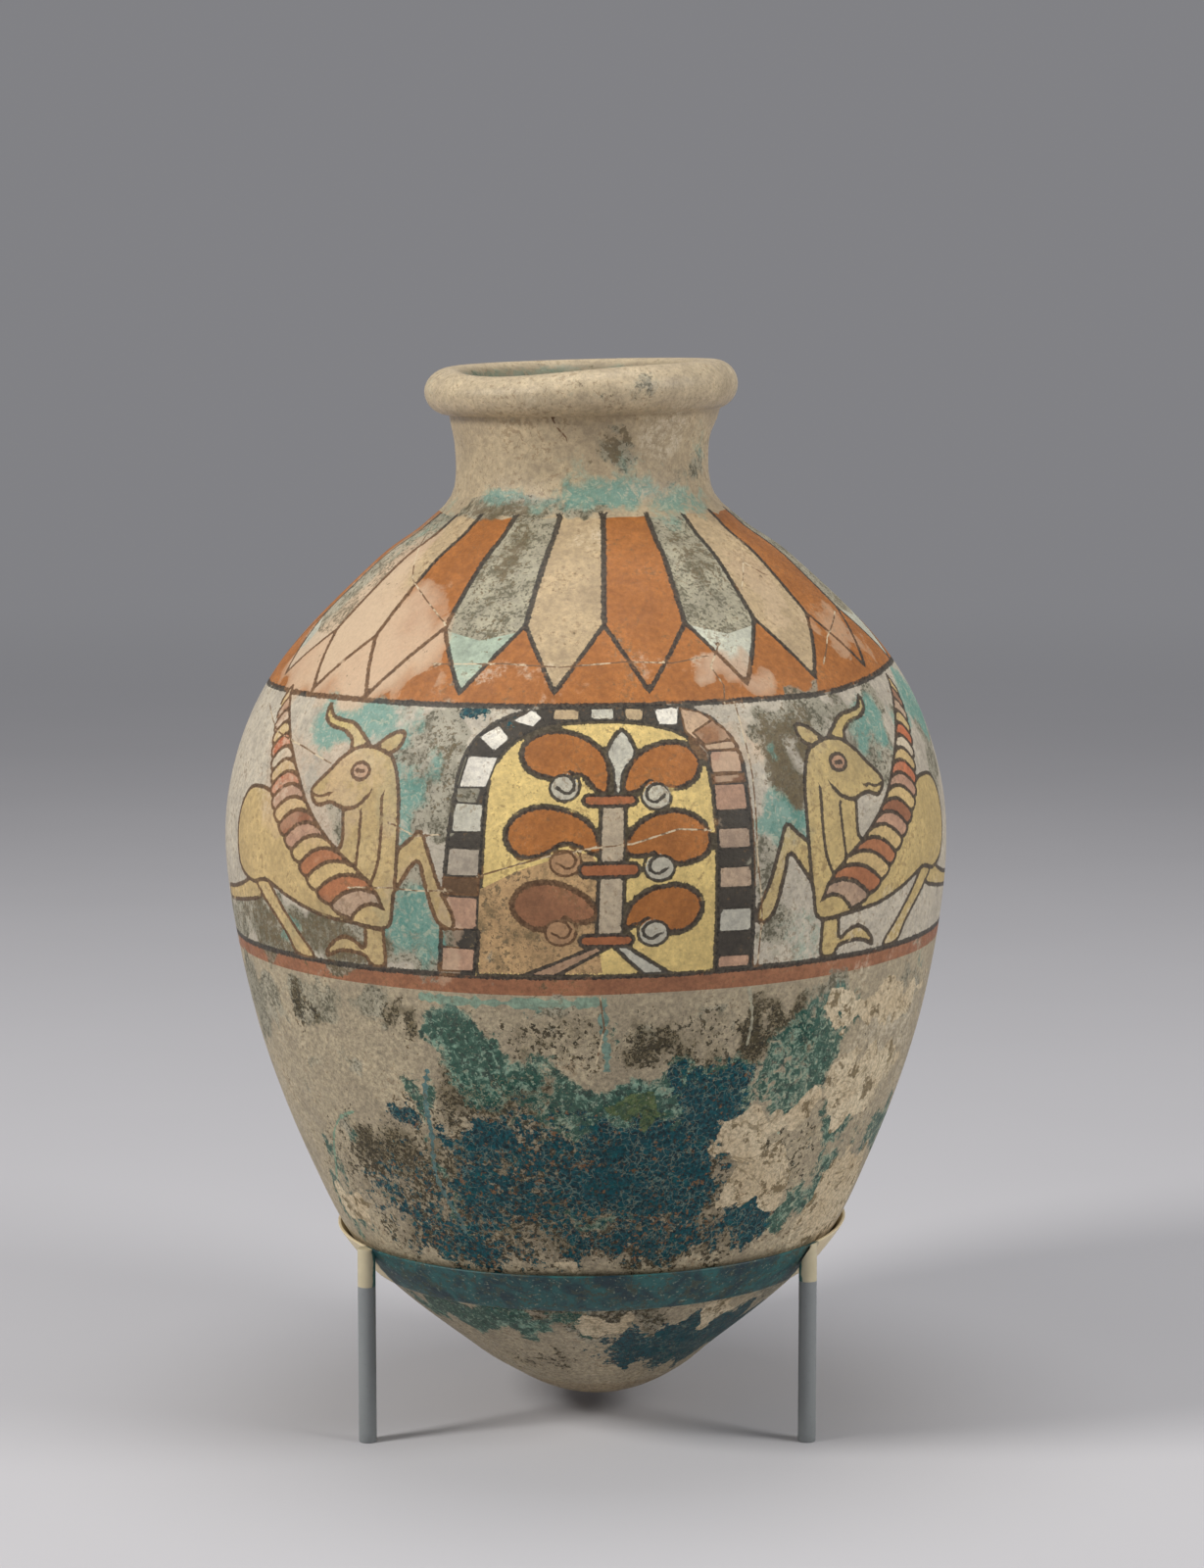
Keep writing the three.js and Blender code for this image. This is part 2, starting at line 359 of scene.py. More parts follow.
def arch(turn):
    def block(places, colour, half=BLOCK_EDGE, brown=0.0):
        shape(turned(turn, places), colour, half, brown, rounded=False)

    shape(turned(turn, ARCH_OUTSIDE), INK, 0.9, mottle=0.08, rounded=FOOTED)
    shape(turned(turn, ARCH_INSIDE), YELLOW, 1.0, rounded=FOOTED)
    for low, high, colour in LEFT_BLOCKS:
        outer = [edge_azimuth(ARCH_OUTSIDE[:6], h) + 0.3 for h in (low, high)]
        inner = [edge_azimuth(ARCH_INSIDE[:6], h) - 0.3 for h in (low, high)]
        block([(outer[0], low), (outer[1], high), (inner[1], high - 0.4), (inner[0], low + 0.3)], colour)
    for low, high, colour in RIGHT_BLOCKS:
        block([(20.0, low + 0.3), (20.1, high), (25.2, high - 0.3), (25.2, low)], colour)
    for places, colour in TOP_BLOCKS:
        middle = np.mean(places, axis=0)
        block(middle + (places - middle) * TOP_BLOCK_SIZE, colour)
    for places, colour in MENDED_BORDER:
        block(places, colour, 0.45, 0.9)
    fill(turned(turn, MENDED_PANEL), (192, 157, 113), 0.5, rounded=False)
    line(turned(turn, MENDED_PANEL[1:5]), 0, rounded=False)


LEAVES = [
    [(3.6, 275.5), (4, 283.5), (2.8, 291), (0, 296), (-4, 298.3), (-7.8, 296.6), (-9.8, 291.2), (-9, 285),
     (-6.4, 281.4), (-3.4, 281.2), (-0.6, 282), (1, 278.4), (2.2, 275.6)],
    [(5.9, 275.8), (6.8, 284), (9.2, 290.4), (13, 293.4), (16.5, 292.2), (18.3, 286.6), (17.5, 280),
     (14.8, 276.4), (11.6, 277.2), (9.4, 277), (7.6, 275)],
    [(2, 252.6), (1.8, 260), (-0.4, 266.4), (-4.4, 270), (-8.2, 269.6), (-11, 265), (-11.8, 258.6),
     (-10.4, 252.6), (-8.4, 250.8), (-5.6, 252.6), (-3, 256.4), (-0.8, 255)],
    [(6, 252.8), (6.7, 260), (9.2, 265.6), (13, 268.2), (16.6, 265.8), (18.8, 259), (18.4, 252),
     (15.8, 248.4), (12.6, 248.2), (10.6, 251.6), (8, 251)],
    [(1.5, 227.6), (1.2, 232.6), (-1.2, 238.2), (-5, 241.8), (-8.8, 240.2), (-10.8, 234), (-10, 227.8),
     (-7.6, 223.6), (-5.4, 224.2), (-3.4, 227.4), (-1.2, 226)],
    [(5.5, 223), (6.4, 232), (9.2, 238), (13, 240), (16.3, 237), (17.3, 230), (15.6, 223), (12.4, 221.2),
     (10.2, 224.4), (7.4, 224.6)],
]
# Curls under the leaves: the middle, and which way the curl opens.
CURLS = [((-3, 277.4), 1), ((11, 273.6), -1), ((-2.9, 249.2), 1), ((11, 246.6), -1), ((-3.8, 222.2), 1),
         ((10, 221.4), -1)]
CURL_AZIMUTH, CURL_HEIGHT = 2.25, 5.0
CURL_TURNS, CURL_REACH = (-1.3, 0, 4.4, 8.6), (1.28, 1.04, 0.96, 0.3)
BARS = [(-0.2, 8, 270.4, 274.6), (-0.9, 8, 243.6, 248.8), (-1, 7, 216.6, 221)]
OLD_LEAF, OLD_CURLS = 4, (2, 4)


def bar(left, right, low, high):
    middle = (low + high) / 2
    return [(left, middle), (left + 0.4, high - 0.4), (left + 1.2, high), (right - 1.2, high),
            (right - 0.3, high - 0.6), (right, middle), (right - 0.4, low + 0.4), (right - 1.2, low),
            (left + 1.2, low), (left + 0.4, low + 0.4)]


def circle(middle, reach_azimuth, reach_height, count):
    around = np.linspace(0, 2 * math.pi, count, endpoint=False)
    return [(middle[0] + reach_azimuth * math.cos(t), middle[1] + reach_height * math.sin(t)) for t in around]


def curl(turn, azimuth, height, way, old):
    """A pale disc with a line that winds into it."""
    azimuth += turn
    turns = np.linspace(CURL_TURNS[0], CURL_TURNS[-1], 44)
    reach = np.interp(turns, CURL_TURNS, CURL_REACH)
    disc = circle((azimuth, height), CURL_AZIMUTH, CURL_HEIGHT, 14)
    fill(disc, (176, 138, 102) if old else (190, 184, 166), KEPT)
    line([(azimuth + way * CURL_AZIMUTH * r * math.cos(t), height - CURL_HEIGHT * r * math.sin(t))
          for t, r in zip(turns, reach)], 0.5 if old else 0.6, 0.8 if old else 0)


def tree(turn):
    def part(places, colour, half, brown=0.0, rounded=True):
        shape(turned(turn, places), colour, half, brown, rounded=rounded)

    part([(1.4, 216.5), (3.6, 216.5), (-4.6, 205), (-9.6, 205)], (172, 140, 112), 0.7, rounded=False)
    part([(4, 216.5), (6, 216.5), (12.6, 205), (8.6, 205)], GREY_WHITE, 0.8, rounded=False)
    part([(2.5, 271), (6.2, 271), (5.4, 218), (1.5, 218)], (184, 168, 144), 0.8, rounded=False)
    bud = [(4.7, 274), (4.4, 284), (3.6, 290.5), (6.2, 298.4), (8.2, 290), (6.2, 283), (5.5, 274)]
    part(bud, GREY_WHITE, 0.9)
    for number, leaf in enumerate(LEAVES):
        old = number == OLD_LEAF
        part(leaf, (150, 104, 74) if old else ORANGE, 1.15, 0.7 if old else 0)
    for number, ((azimuth, height), way) in enumerate(CURLS):
        curl(turn, azimuth, height, way, number in OLD_CURLS)
    for sides in BARS:
        part(bar(*sides), (164, 102, 66), 0.75)


# The beasts are of a general kind, half goat and half bull, kneeling, horned and winged. Each point is
# degrees outwards from the tree's middle, and height.
TREE_MIDDLE = 3.2
BODY = [
    (34.4, 221.6), (33, 232), (32.3, 246), (32.3, 262), (33, 276), (35.2, 287.4), (39.6, 289.4), (43, 284),
    (42.8, 266), (43, 251), (50, 252), (57, 263), (61, 268.6), (66, 270), (70, 267.6), (72.6, 259),
    (73, 247), (71.4, 236), (66.5, 231.6), (61.5, 233.6), (55, 228.6), (48, 224), (41, 222.2),
]
HEAD = [
    (35.4, 287.8), (38.6, 290.4), (42, 290), (44.9, 285.8), (47.4, 279.6), (49.7, 274.6), (50.4, 271),
    (48.5, 266.8), (45.8, 268.4), (42.6, 266.6), (40.2, 268), (38.2, 272.4),
]
MOUTH = [(50, 270.8), (48.2, 270.2), (46.6, 271.4)]
HORN = [
    (39.6, 289.8), (41.4, 294), (44.2, 298.4), (47.6, 299.6), (50, 300.8), (51.9, 304.8), (51.7, 300.2),
    (49.4, 297), (46.2, 295.8), (43.9, 292.6), (43.2, 289),
]
EAR = [(37.4, 287.6), (34.2, 290.6), (33.6, 296.6), (36, 295.6), (38.6, 290.2)]
THROAT = [[(35.7, 272), (35.2, 258), (35.6, 246), (37.2, 237)], [(39.2, 265), (39.2, 255), (39.6, 245)]]
EYE, EYE_AZIMUTH, EYE_HEIGHT = (40.6, 281.2), 1.75, 3.3
KNEELING_LEG = [
    (35.4, 224), (35, 214), (35.3, 206.4), (37.6, 205.8), (39, 209.6), (43.4, 210.4), (47, 207.4),
    (45.6, 212.4), (43, 216), (40.8, 215), (38.7, 212.8), (38, 224),
]
RAISED_LEG = [
    (33, 248.6), (30.2, 256.4), (28.4, 259.8), (27, 252), (25, 238), (23.2, 228), (23.3, 222.8),
    (25.2, 224.4), (26.4, 230.4), (27.6, 241), (28.9, 248.6), (33.2, 235),
]
HIND_LEG = [
    (61.4, 234), (57.6, 225), (53.4, 215), (50, 206), (54.2, 206), (56.4, 213), (59, 219), (62.6, 226.4),
    (65, 232.4),
]
TAIL = [
    (62, 231), (66, 233.4), (70.4, 229.6), (76, 226.2), (82, 224), (81.4, 219.6), (75, 221), (68.4, 223.4),
    (64, 226),
]
WING_FRONT = [
    (34.8, 229), (36.2, 236), (39.4, 243.4), (43.6, 250.4), (47.6, 258.4), (51.2, 267), (54.4, 276.6),
    (58.4, 287.2), (62.6, 297.8), (66.8, 307),
]
WING_BACK = [
    (41, 223.6), (46.2, 229.6), (49.6, 236.6), (51.8, 243), (54.4, 249), (56.8, 255.2), (59.2, 261.4),
    (60.8, 268.4), (62.4, 277), (64.6, 287), (66.8, 297), (68.2, 305.6),
]
WING_COLOURS = [
    (176, 148, 124), (172, 112, 76), STRAW, (174, 116, 80), STRAW, (188, 148, 122), (154, 104, 76), STRAW,
    (184, 144, 120), (190, 116, 82), STRAW, (208, 192, 166), (190, 112, 76), STRAW, (196, 166, 140),
    (160, 118, 92), STRAW,
]


def along(points, shares):
    p = spline(points, 16)
    s = np.concatenate([[0], np.cumsum(np.hypot(*np.diff(p, axis=0).T))])
    return np.column_stack([np.interp(shares * s[-1], s, p[:, 0]), np.interp(shares * s[-1], s, p[:, 1])])


def bow(a, b, rise, count=7):
    """An arc from a to b, which the flow of strokes then samples evenly."""
    a, b = np.asarray(a, float), np.asarray(b, float)
    t = np.linspace(0, 1, count)[:, None]
    return a + (b - a) * t + np.array(rise) * 4 * t * (1 - t)


def feathers():
    """The wing's scalloped bars, from its tip down to the breast."""
    shares = np.linspace(0, 1, len(WING_COLOURS) + 1) ** 0.94
    fronts, backs = along(WING_FRONT, shares), along(WING_BACK, shares)
    for i in reversed(range(len(WING_COLOURS))):
        rise = (0, 2.6 + 0.12 * np.hypot(*(backs[i] - fronts[i])))
        scallop = bow(backs[i], backs[i + 1], (0.7, -0.5), 4)
        lower, upper = bow(fronts[i], backs[i], rise), bow(backs[i + 1], fronts[i + 1], rise)
        yield np.vstack([lower, scallop[1:], upper[1:]]), WING_COLOURS[i]


def beast(turn, way, half, brown):
    """A beast outwards of the tree: way is 1 for the right one and -1 for its mirror image."""
    def at(places):
        return [(turn + TREE_MIDDLE + way * d, h) for d, h in places]

    coat = (193, 169, 116) if way > 0 else (195, 169, 119)
    for places, share in ((TAIL, 0.6), (HIND_LEG, 1), (KNEELING_LEG, 1), (RAISED_LEG, 1), (BODY, 0.7)):
        shape(at(places), coat, half, brown * share)
    for stripe in THROAT:
        line(at(stripe), half * 0.85, brown)
    shape(at(EAR), coat, half, brown)
    shape(at(HORN), (206, 180, 118), half, brown)
    fill(at(HEAD), coat, KEPT)
    line(at(HEAD), half, brown)
    line(at(MOUTH), half * 0.7, brown)
    shape(at(circle(EYE, EYE_AZIMUTH, EYE_HEIGHT, 12)), (186, 146, 116), half * 0.9, brown)
    line(at([(EYE[0] + step, EYE[1]) for step in (-0.2, 0.1, 0.3)]), half * 0.9, brown)
    for outline, colour in feathers():
        shape(at(outline), colour, half * 0.95, brown * 0.8, rounded=False)


# Hairline cracks and the joins of old repairs.
CRACKS = [
    [(-27, 322), (-15, 322.6), (-4, 321.4), (8, 323), (17, 322), (24, 324)],
    [(24.6, 307), (25.4, 313), (24, 320), (27, 327)],
    [(-30, 336), (-36, 342), (-42, 347), (-49, 352), (-57, 361), (-65, 367)],
    [(53, 352), (49, 357), (45, 352), (41, 347)],
    [(70, 335), (63, 331), (57, 327), (50, 318)],
    [(-16, 243.6), (-10, 248.4), (-5, 252), (1, 254.6), (7, 256), (14, 261), (19, 260)],
    [(-38, 236), (-31, 237.4), (-25, 237), (-20, 238)],
    [(2, 197), (2.6, 184), (1.4, 170)],
    [(26.4, 307), (26.8, 280), (26.2, 250), (27, 226), (26.6, 205)],
    [(-30, 262), (-26, 258), (-22.5, 259)],
    [(-12, 417), (-10, 412), (-6.4, 408)],
    [(-70, 300), (-62, 292), (-52, 288), (-44, 283)],
    [(140, 330), (152, 326), (166, 329), (178, 322)],
    [(-140, 250), (-128, 256), (-118, 251), (-106, 254)],
]

# Pale joins where sherds meet: a run of places, a width in mm and a colour.
JOINS = [
    ([(-26.5, 165), (-27.5, 157), (-28, 147), (-28, 137), (-29, 124), (-29, 115), (-28, 107), (-26.5, 100),
      (-26, 93)], 2.1, (88, 120, 118)),
    ([(-44.5, 142), (-49, 138), (-53.5, 129), (-58, 114), (-62, 101), (-61, 87),
      (-62, 79)], 1.1, (124, 152, 128)),
    ([(2.5, 195), (2.5, 184), (3, 174), (3, 166)], 2.6, (120, 146, 132)),
    ([(-26.5, 195), (-19, 194), (-10, 194), (-2, 194), (3, 195)], 3.4, (134, 156, 136)),
    ([(25.5, 197), (26.5, 184), (26, 173)], 1.2, (176, 170, 146)),
    ([(33, 151), (34, 144), (35.5, 133)], 0.9, (150, 160, 140)),
]


def join(places, width, colour):
    """A pale strip with uneven edges."""
    run = spline(np.array(places, float), 9)
    scale = (2.4, 1)  # mm to a degree at the belly, and mm to a mm
    way = np.gradient(run, axis=0) * scale
    across = np.column_stack([-way[:, 1], way[:, 0]]) / np.hypot(*way.T)[:, None]
    across *= (width / 2) * scatter.uniform(0.2, 1.7, len(run))[:, None] / scale
    shape(np.vstack([run + across, (run - across)[::-1]]), colour, 0, rounded=False)


for places, width, colour in JOINS:
    join(places, width, colour)
for turn in (0, 180):
    arch(turn)
    tree(turn)
    beast(turn, 1, 0.88, 0.15)
    beast(turn, -1, 0.85, 0.8)
for crack in CRACKS:
    line(crack, 0.32, HAIRLINE, rounded=False)

# The glaze's state and one patch of painted light, as soft patches:
# (azimuth, height, reach in azimuth, reach in height, strength).

TEAL = [
    (43, 182, 8, 10, 0.62), (88, 140, 8, 24, 0.6), (70, 120, 13, 15, 0.62), (-16, 164, 11, 14, 0.85),
    (10, 149, 23, 14, 0.85), (36, 152, 8, 12, 0.7), (47, 99, 6, 13, 0.7), (-23, 185, 4, 10, 1),
    (-20, 175, 7, 9, 1), (4, 155, 11, 8, 1), (3, 181, 2, 14, 0.55), (-11, 196, 14, 3, 0.5),
    (22, 159, 9, 12, 0.9), (34, 170, 5, 18, 0.75), (42, 165, 5, 15, 0.8), (50, 134, 6, 14, 0.8),
    (52, 113, 6, 12, 0.7), (41, 95, 4, 10, 0.9), (-28, 147, 1, 17, 0.7), (-28, 119, 2, 12, 0.7),
    (-27, 103, 3, 8, 0.7), (-48, 136, 3, 5, 0.5), (-57, 116, 3, 16, 0.6), (-60, 93, 6, 16, 0.6),
    (50, 179, 5, 8, 0.5), (4, 103, 12, 4, 0.7), (-40, 298, 13, 11, 1.25), (-30, 272, 7, 20, 1.15),
    (-34, 286, 8, 8, 0.7), (-52, 217, 4, 7, 0.9), (-27.5, 224, 5, 20, 1.2), (31.6, 284, 1.6, 18, 0.9),
    (30, 262, 4, 9, 1.15), (35.5, 260, 3, 9, 1.15), (54, 294, 6, 15, 1.15), (36, 216, 8, 10, 0.6),
    (66, 224, 14, 10, 0.5), (78, 296, 15, 14, 1.2), (14, 385, 30, 8, 1.1), (-38, 384, 18, 5, 0.9),
    (48, 381, 26, 7, 1), (-12, 380, 14, 4, 0.8), (62, 402, 14, 18, 0.55), (26, 394, 24, 11, 0.6),
    (-32, 51, 34, 9, 1), (-72, 372, 16, 16, 0.7), (34, 374, 9, 5, 0.8), (-3, 398, 10, 7, 0.7),
    (70, 200, 16, 8, 0.5), (78, 424, 14, 12, 0.5), (-78, 427, 14, 10, 0.5), (100, 260, 16, 40, 0.7),
    (130, 150, 18, 40, 0.9), (-150, 160, 20, 20, 0.9), (100, 340, 12, 20, 0.6), (-120, 130, 16, 30, 0.7),
    (170, 385, 40, 10, 0.9), (160, 60, 40, 12, 0.9), (-110, 300, 14, 12, 0.8),
]
PETROL = [
    (-4, 116, 46, 35, 0.42), (-2, 122, 28, 38, 0.66), (21, 147, 8, 14, 1.1), (11, 123, 15, 26, 1.25),
    (-34, 142, 6, 6, 0.9), (-18, 135, 7, 10, 1.15), (-20, 112, 11, 14, 0.85), (-2, 115, 6, 8, 1.1),
    (22, 158, 8, 12, 1.25), (-40, 106, 12, 16, 0.62), (-26, 97, 8, 17, 0.72), (14, 92, 27, 10, 0.75),
    (-16, 153, 10, 10, 0.36), (34, 98, 6, 12, 1), (42, 141, 2, 4, 0.8), (-25, 87, 21, 12, 0.6),
    (-17.5, 301.5, 3.5, 3, 1.3), (38, 35, 34, 14, 1.4), (80, 36, 26, 12, 1), (-30, 54, 22, 6, 0.6),
    (168, 110, 26, 34, 1), (-160, 130, 18, 26, 0.9), (-100, 60, 30, 16, 0.7),
]
BARE = [
    (28, 136, 6, 10, 1), (39, 140, 4, 10, 0.8), (34, 113, 8, 13, 1), (61, 92, 12, 24, 1),
    (56, 148, 11, 17, 1), (60, 180, 17, 8, 0.9), (-5, 85, 4, 4, 0.8), (-57, 97, 7, 10, 0.8),
    (44, 185, 3, 7, 0.7), (36, 52, 7, 8, 1), (4, 50, 12, 9, 0.6), (120, 110, 14, 26, 0.9),
    (-170, 175, 16, 12, 0.8), (178, 90, 10, 10, 0.7),
]
GRIME = [
    (14, 178, 11, 16, 0.5), (-6, 115, 52, 36, 0.72), (-16, 155, 11, 12, 1), (4, 52, 22, 9, 0.7),
    (-6, 180, 12, 13, 0.52), (23, 165, 9, 9, 0.7), (-43, 129, 5, 10, 1.1), (-40, 124, 12, 15, 0.85),
    (-26, 90, 23, 12, 0.8), (14, 89, 25, 10, 0.8), (-30, 187, 3, 8, 1.1), (10, 176, 5, 10, 0.95),
    (16, 165, 3, 5, 1.1), (28, 183, 2, 16, 1.15), (34, 179, 4, 16, 0.95), (8, 149, 5, 8, 1),
    (-52, 184, 3, 6, 0.8), (-22, 164, 4, 5, 0.9), (56, 162, 5, 4, 0.6), (33, 280, 4, 24, 1),
    (-21, 362, 6, 13, 0.8), (33, 360, 6, 13, 0.62), (-24, 286, 5, 20, 0.4), (-50, 214, 26, 12, 0.7),
    (34, 296, 6, 9, 0.6), (52, 300, 6, 8, 0.5), (-10, 226, 9, 24, 0.45), (-36, 379, 26, 4, 0.75),
    (15, 404, 11, 11, 0.72), (10, 428, 26, 9, 0.3), (-6, 58, 26, 6, 0.8), (-20, 350, 8, 24, 0.35),
    (-20, 26, 16, 6, 0.6), (150, 190, 30, 16, 0.8), (-140, 110, 26, 30, 0.9), (120, 280, 10, 26, 0.7),
    (-130, 220, 26, 14, 0.8), (-100, 180, 16, 16, 0.6), (-160, 378, 30, 4, 0.8), (170, 404, 16, 12, 0.8),
]
VEIL = [
    (8, 149, 5, 8, 1.6), (-24.5, 284, 6, 26, 1.5), (-50, 216, 32, 12, 1.1), (-26, 230, 6, 28, 0.9),
    (-36, 262, 6, 24, 0.6), (38, 299, 9, 8, 1), (33, 276, 4, 18, 1), (52, 286, 8, 16, 1),
    (44, 303, 12, 5, 0.8), (62, 300, 6, 8, 0.7), (29, 230, 4, 26, 0.6), (78, 280, 8, 24, 0.7),
    (-72, 212, 14, 9, 0.9), (-34, 379, 32, 4, 1), (2, 379, 12, 3, 0.9), (14, 404, 16, 13, 0.6),
    (50, 392, 22, 10, 0.6), (16, 182, 13, 12, 0.42), (-44, 188, 14, 10, 0.7), (-72, 180, 12, 18, 0.8),
    (38, 186, 8, 12, 0.6), (-6, 193, 14, 5, 0.5), (-50, 150, 14, 20, 0.4), (64, 184, 14, 12, 0.5),
    (12, 428, 26, 8, 0.3), (-4, 52, 30, 10, 0.7), (60, 60, 16, 10, 0.5), (150, 290, 16, 24, 0.9),
    (-140, 215, 24, 12, 0.9), (-150, 186, 20, 12, 0.8), (175, 380, 30, 4, 0.9), (120, 190, 20, 12, 0.7),
]
MEND = [
    (-50, 328, 24, 26, 1.1), (-68, 318, 10, 14, 0.9), (-62, 350, 9, 22, 1.1), (-21, 224, 4, 26, 0.62),
    (-26, 235, 6, 28, 0.5), (23, 290, 4, 14, 0.66), (29, 290, 2.6, 16, 0.9), (26, 317, 9, 7, 1),
    (64, 328, 12, 14, 0.62), (-12, 320, 6, 8, 0.5), (-46, 272, 22, 34, 0.55), (22.5, 268, 3, 8, 0.5),
    (10, 258, 9, 8, 0.35), (48, 345, 9, 24, 0.55), (-72, 365, 10, 10, 0.6), (150, 330, 26, 20, 0.9),
    (-130, 250, 30, 26, 0.6), (185, 240, 10, 20, 0.62),
]
# Pale scoured paint; the first patch, on the right of the neck, is painted light falling on that side.
PALE = [
    (38, 408, 16, 16, 1), (60, 166, 14, 20, 0.8), (-4, 316, 5, 6, 0.7), (-14, 319, 10, 5, 0.75),
    (22, 322, 12, 4, 0.7), (-62, 284, 22, 24, 0.8), (60, 216, 22, 9, 0.8), (29, 250, 4, 50, 0.5),
    (0, 368, 9, 10, 0.6), (-18, 424, 8, 5, 0.6), (52, 336, 8, 10, 0.4), (-44, 150, 16, 30, 0.4),
    (58, 200, 20, 14, 0.5), (6, 60, 20, 6, 0.3), (-76, 345, 8, 24, 0.9), (34, 318, 8, 5, 0.6),
    (62, 340, 8, 6, 0.5), (-60, 160, 14, 30, 0.4), (150, 290, 18, 12, 0.6),
]

# Waves that move the patches about: a size, the waves right round the jar, and the mm of height to a radian.
ASIDE_WAVES = ((1.6, 23, 11), (1.1, 41, -6), (0.7, 71, 3.4))
RAISED_WAVES = ((3.4, 19, -9), (2.4, 37, 5), (1.6, 67, -3))
FULL_WITHIN, GONE_BEYOND = 0.45, 1.45  # shares of a patch's reach


def ragged(azimuth, height):
    """Places moved about by a few mm, in waves that close round the jar, so no patch stays an ellipse."""
    a, calm = np.radians(azimuth), 1 - 0.7 * smooth(height, 350, 378)
    aside, raised = (sum(size * np.sin(count * a + height / pitch) for size, count, pitch in waves)
                     for waves in (ASIDE_WAVES, RAISED_WAVES))
    return azimuth + aside * calm, height + raised * calm


def soft_patches(patches, azimuth, height):
    """How strongly the patches lie on each place, from 0 up, with soft edges for the shader to break."""
    value = np.zeros(len(azimuth))
    for a, h, reach_a, reach_h, strength in patches:
        away = np.hypot(((azimuth - a + 180) % 360 - 180) / reach_a, (height - h) / reach_h)
        value = np.maximum(value, strength * (1 - smooth(away, FULL_WITHIN, GONE_BEYOND)))
    return value


# The jar's mesh, with spacings in mm, and margins in the plane's own units.

FILL_SPACING, EDGE_SPACING, CLEAR_OF_STROKES, WELD = 4.4, 4, 2.6, 0.03
LINE_REACH, SIDE_CLEAR, SIDE_CELL, INK_STEPS = 1.6, 1.25, 0.75, 5
MERGE, SIDE_MARGIN, FILL_MARGIN, SEAM_MARGIN = 5e-4, 0.02, 0.03, 0.012
KNOB_RINGS, ROLL_RINGS, INSIDE_STRIDE = 16, 27, 10
KNOB_LID, FLOOR_LID = slice(RING_STEPS - 1, None, -1), slice(-RING_STEPS, None)
FLARE, FLARE_SWING, FLARE_RISE = 2.6, 1.3, 15
SAG, SAG_AZIMUTH, SAG_REACH, SAG_RISE = 3.4, -38, 42, 4
# The wall's waves: a size, the waves right round, the mm of height to a radian, and a phase.
STRAY_WAVES = ((0.35, 2, 60, 0), (0.25, 3, -35, 1), (0.15, 7, 21, 0))


def wall_place(plane):
    """Positions in millimetres of plane points, before the lean, for distances along the wall."""
    u, v = plane.T
    r = plane_radius(v)
    return np.column_stack([r * np.sin(u), -r * np.cos(u), np.interp(v, PLANE_V, WALL_H)])


def visible_runs(path):
    """The parts of a path that nothing drawn later covers, and that lie near the seam at most."""
    seen = path["seen"] & (np.abs(path["run"][:, 0]) < SEAM_REACH)
    starts = np.flatnonzero(seen & ~np.concatenate([[False], seen[:-1]]))
    ends = np.flatnonzero(seen & ~np.concatenate([seen[1:], [False]]))
    return [path["run"][a : b + 1] for a, b in zip(starts, ends) if b > a]


def stroke_sides(run, half):
    """The points beside a stroke, where its ink has faded out."""
    way = np.gradient(run, axis=0)
    way /= np.maximum(np.hypot(*way.T), 1e-9)[:, None]
    across = np.column_stack([-way[:, 1], way[:, 0]]) * (half / plane_radius(run[:, 1]))[:, None]
    return [run + across * LINE_REACH, run - across * LINE_REACH]


def ink_samples(run, half, brown):
    """Close points along a stroke, each with the stroke's half width and brownness."""
    fine = np.linspace(0, len(run) - 1, (len(run) - 1) * INK_STEPS + 1)
    dense = [np.interp(fine, np.arange(len(run)), run[:, i]) for i in (0, 1)]
    return np.column_stack([*dense, np.full((len(fine), 2), (half, brown))])


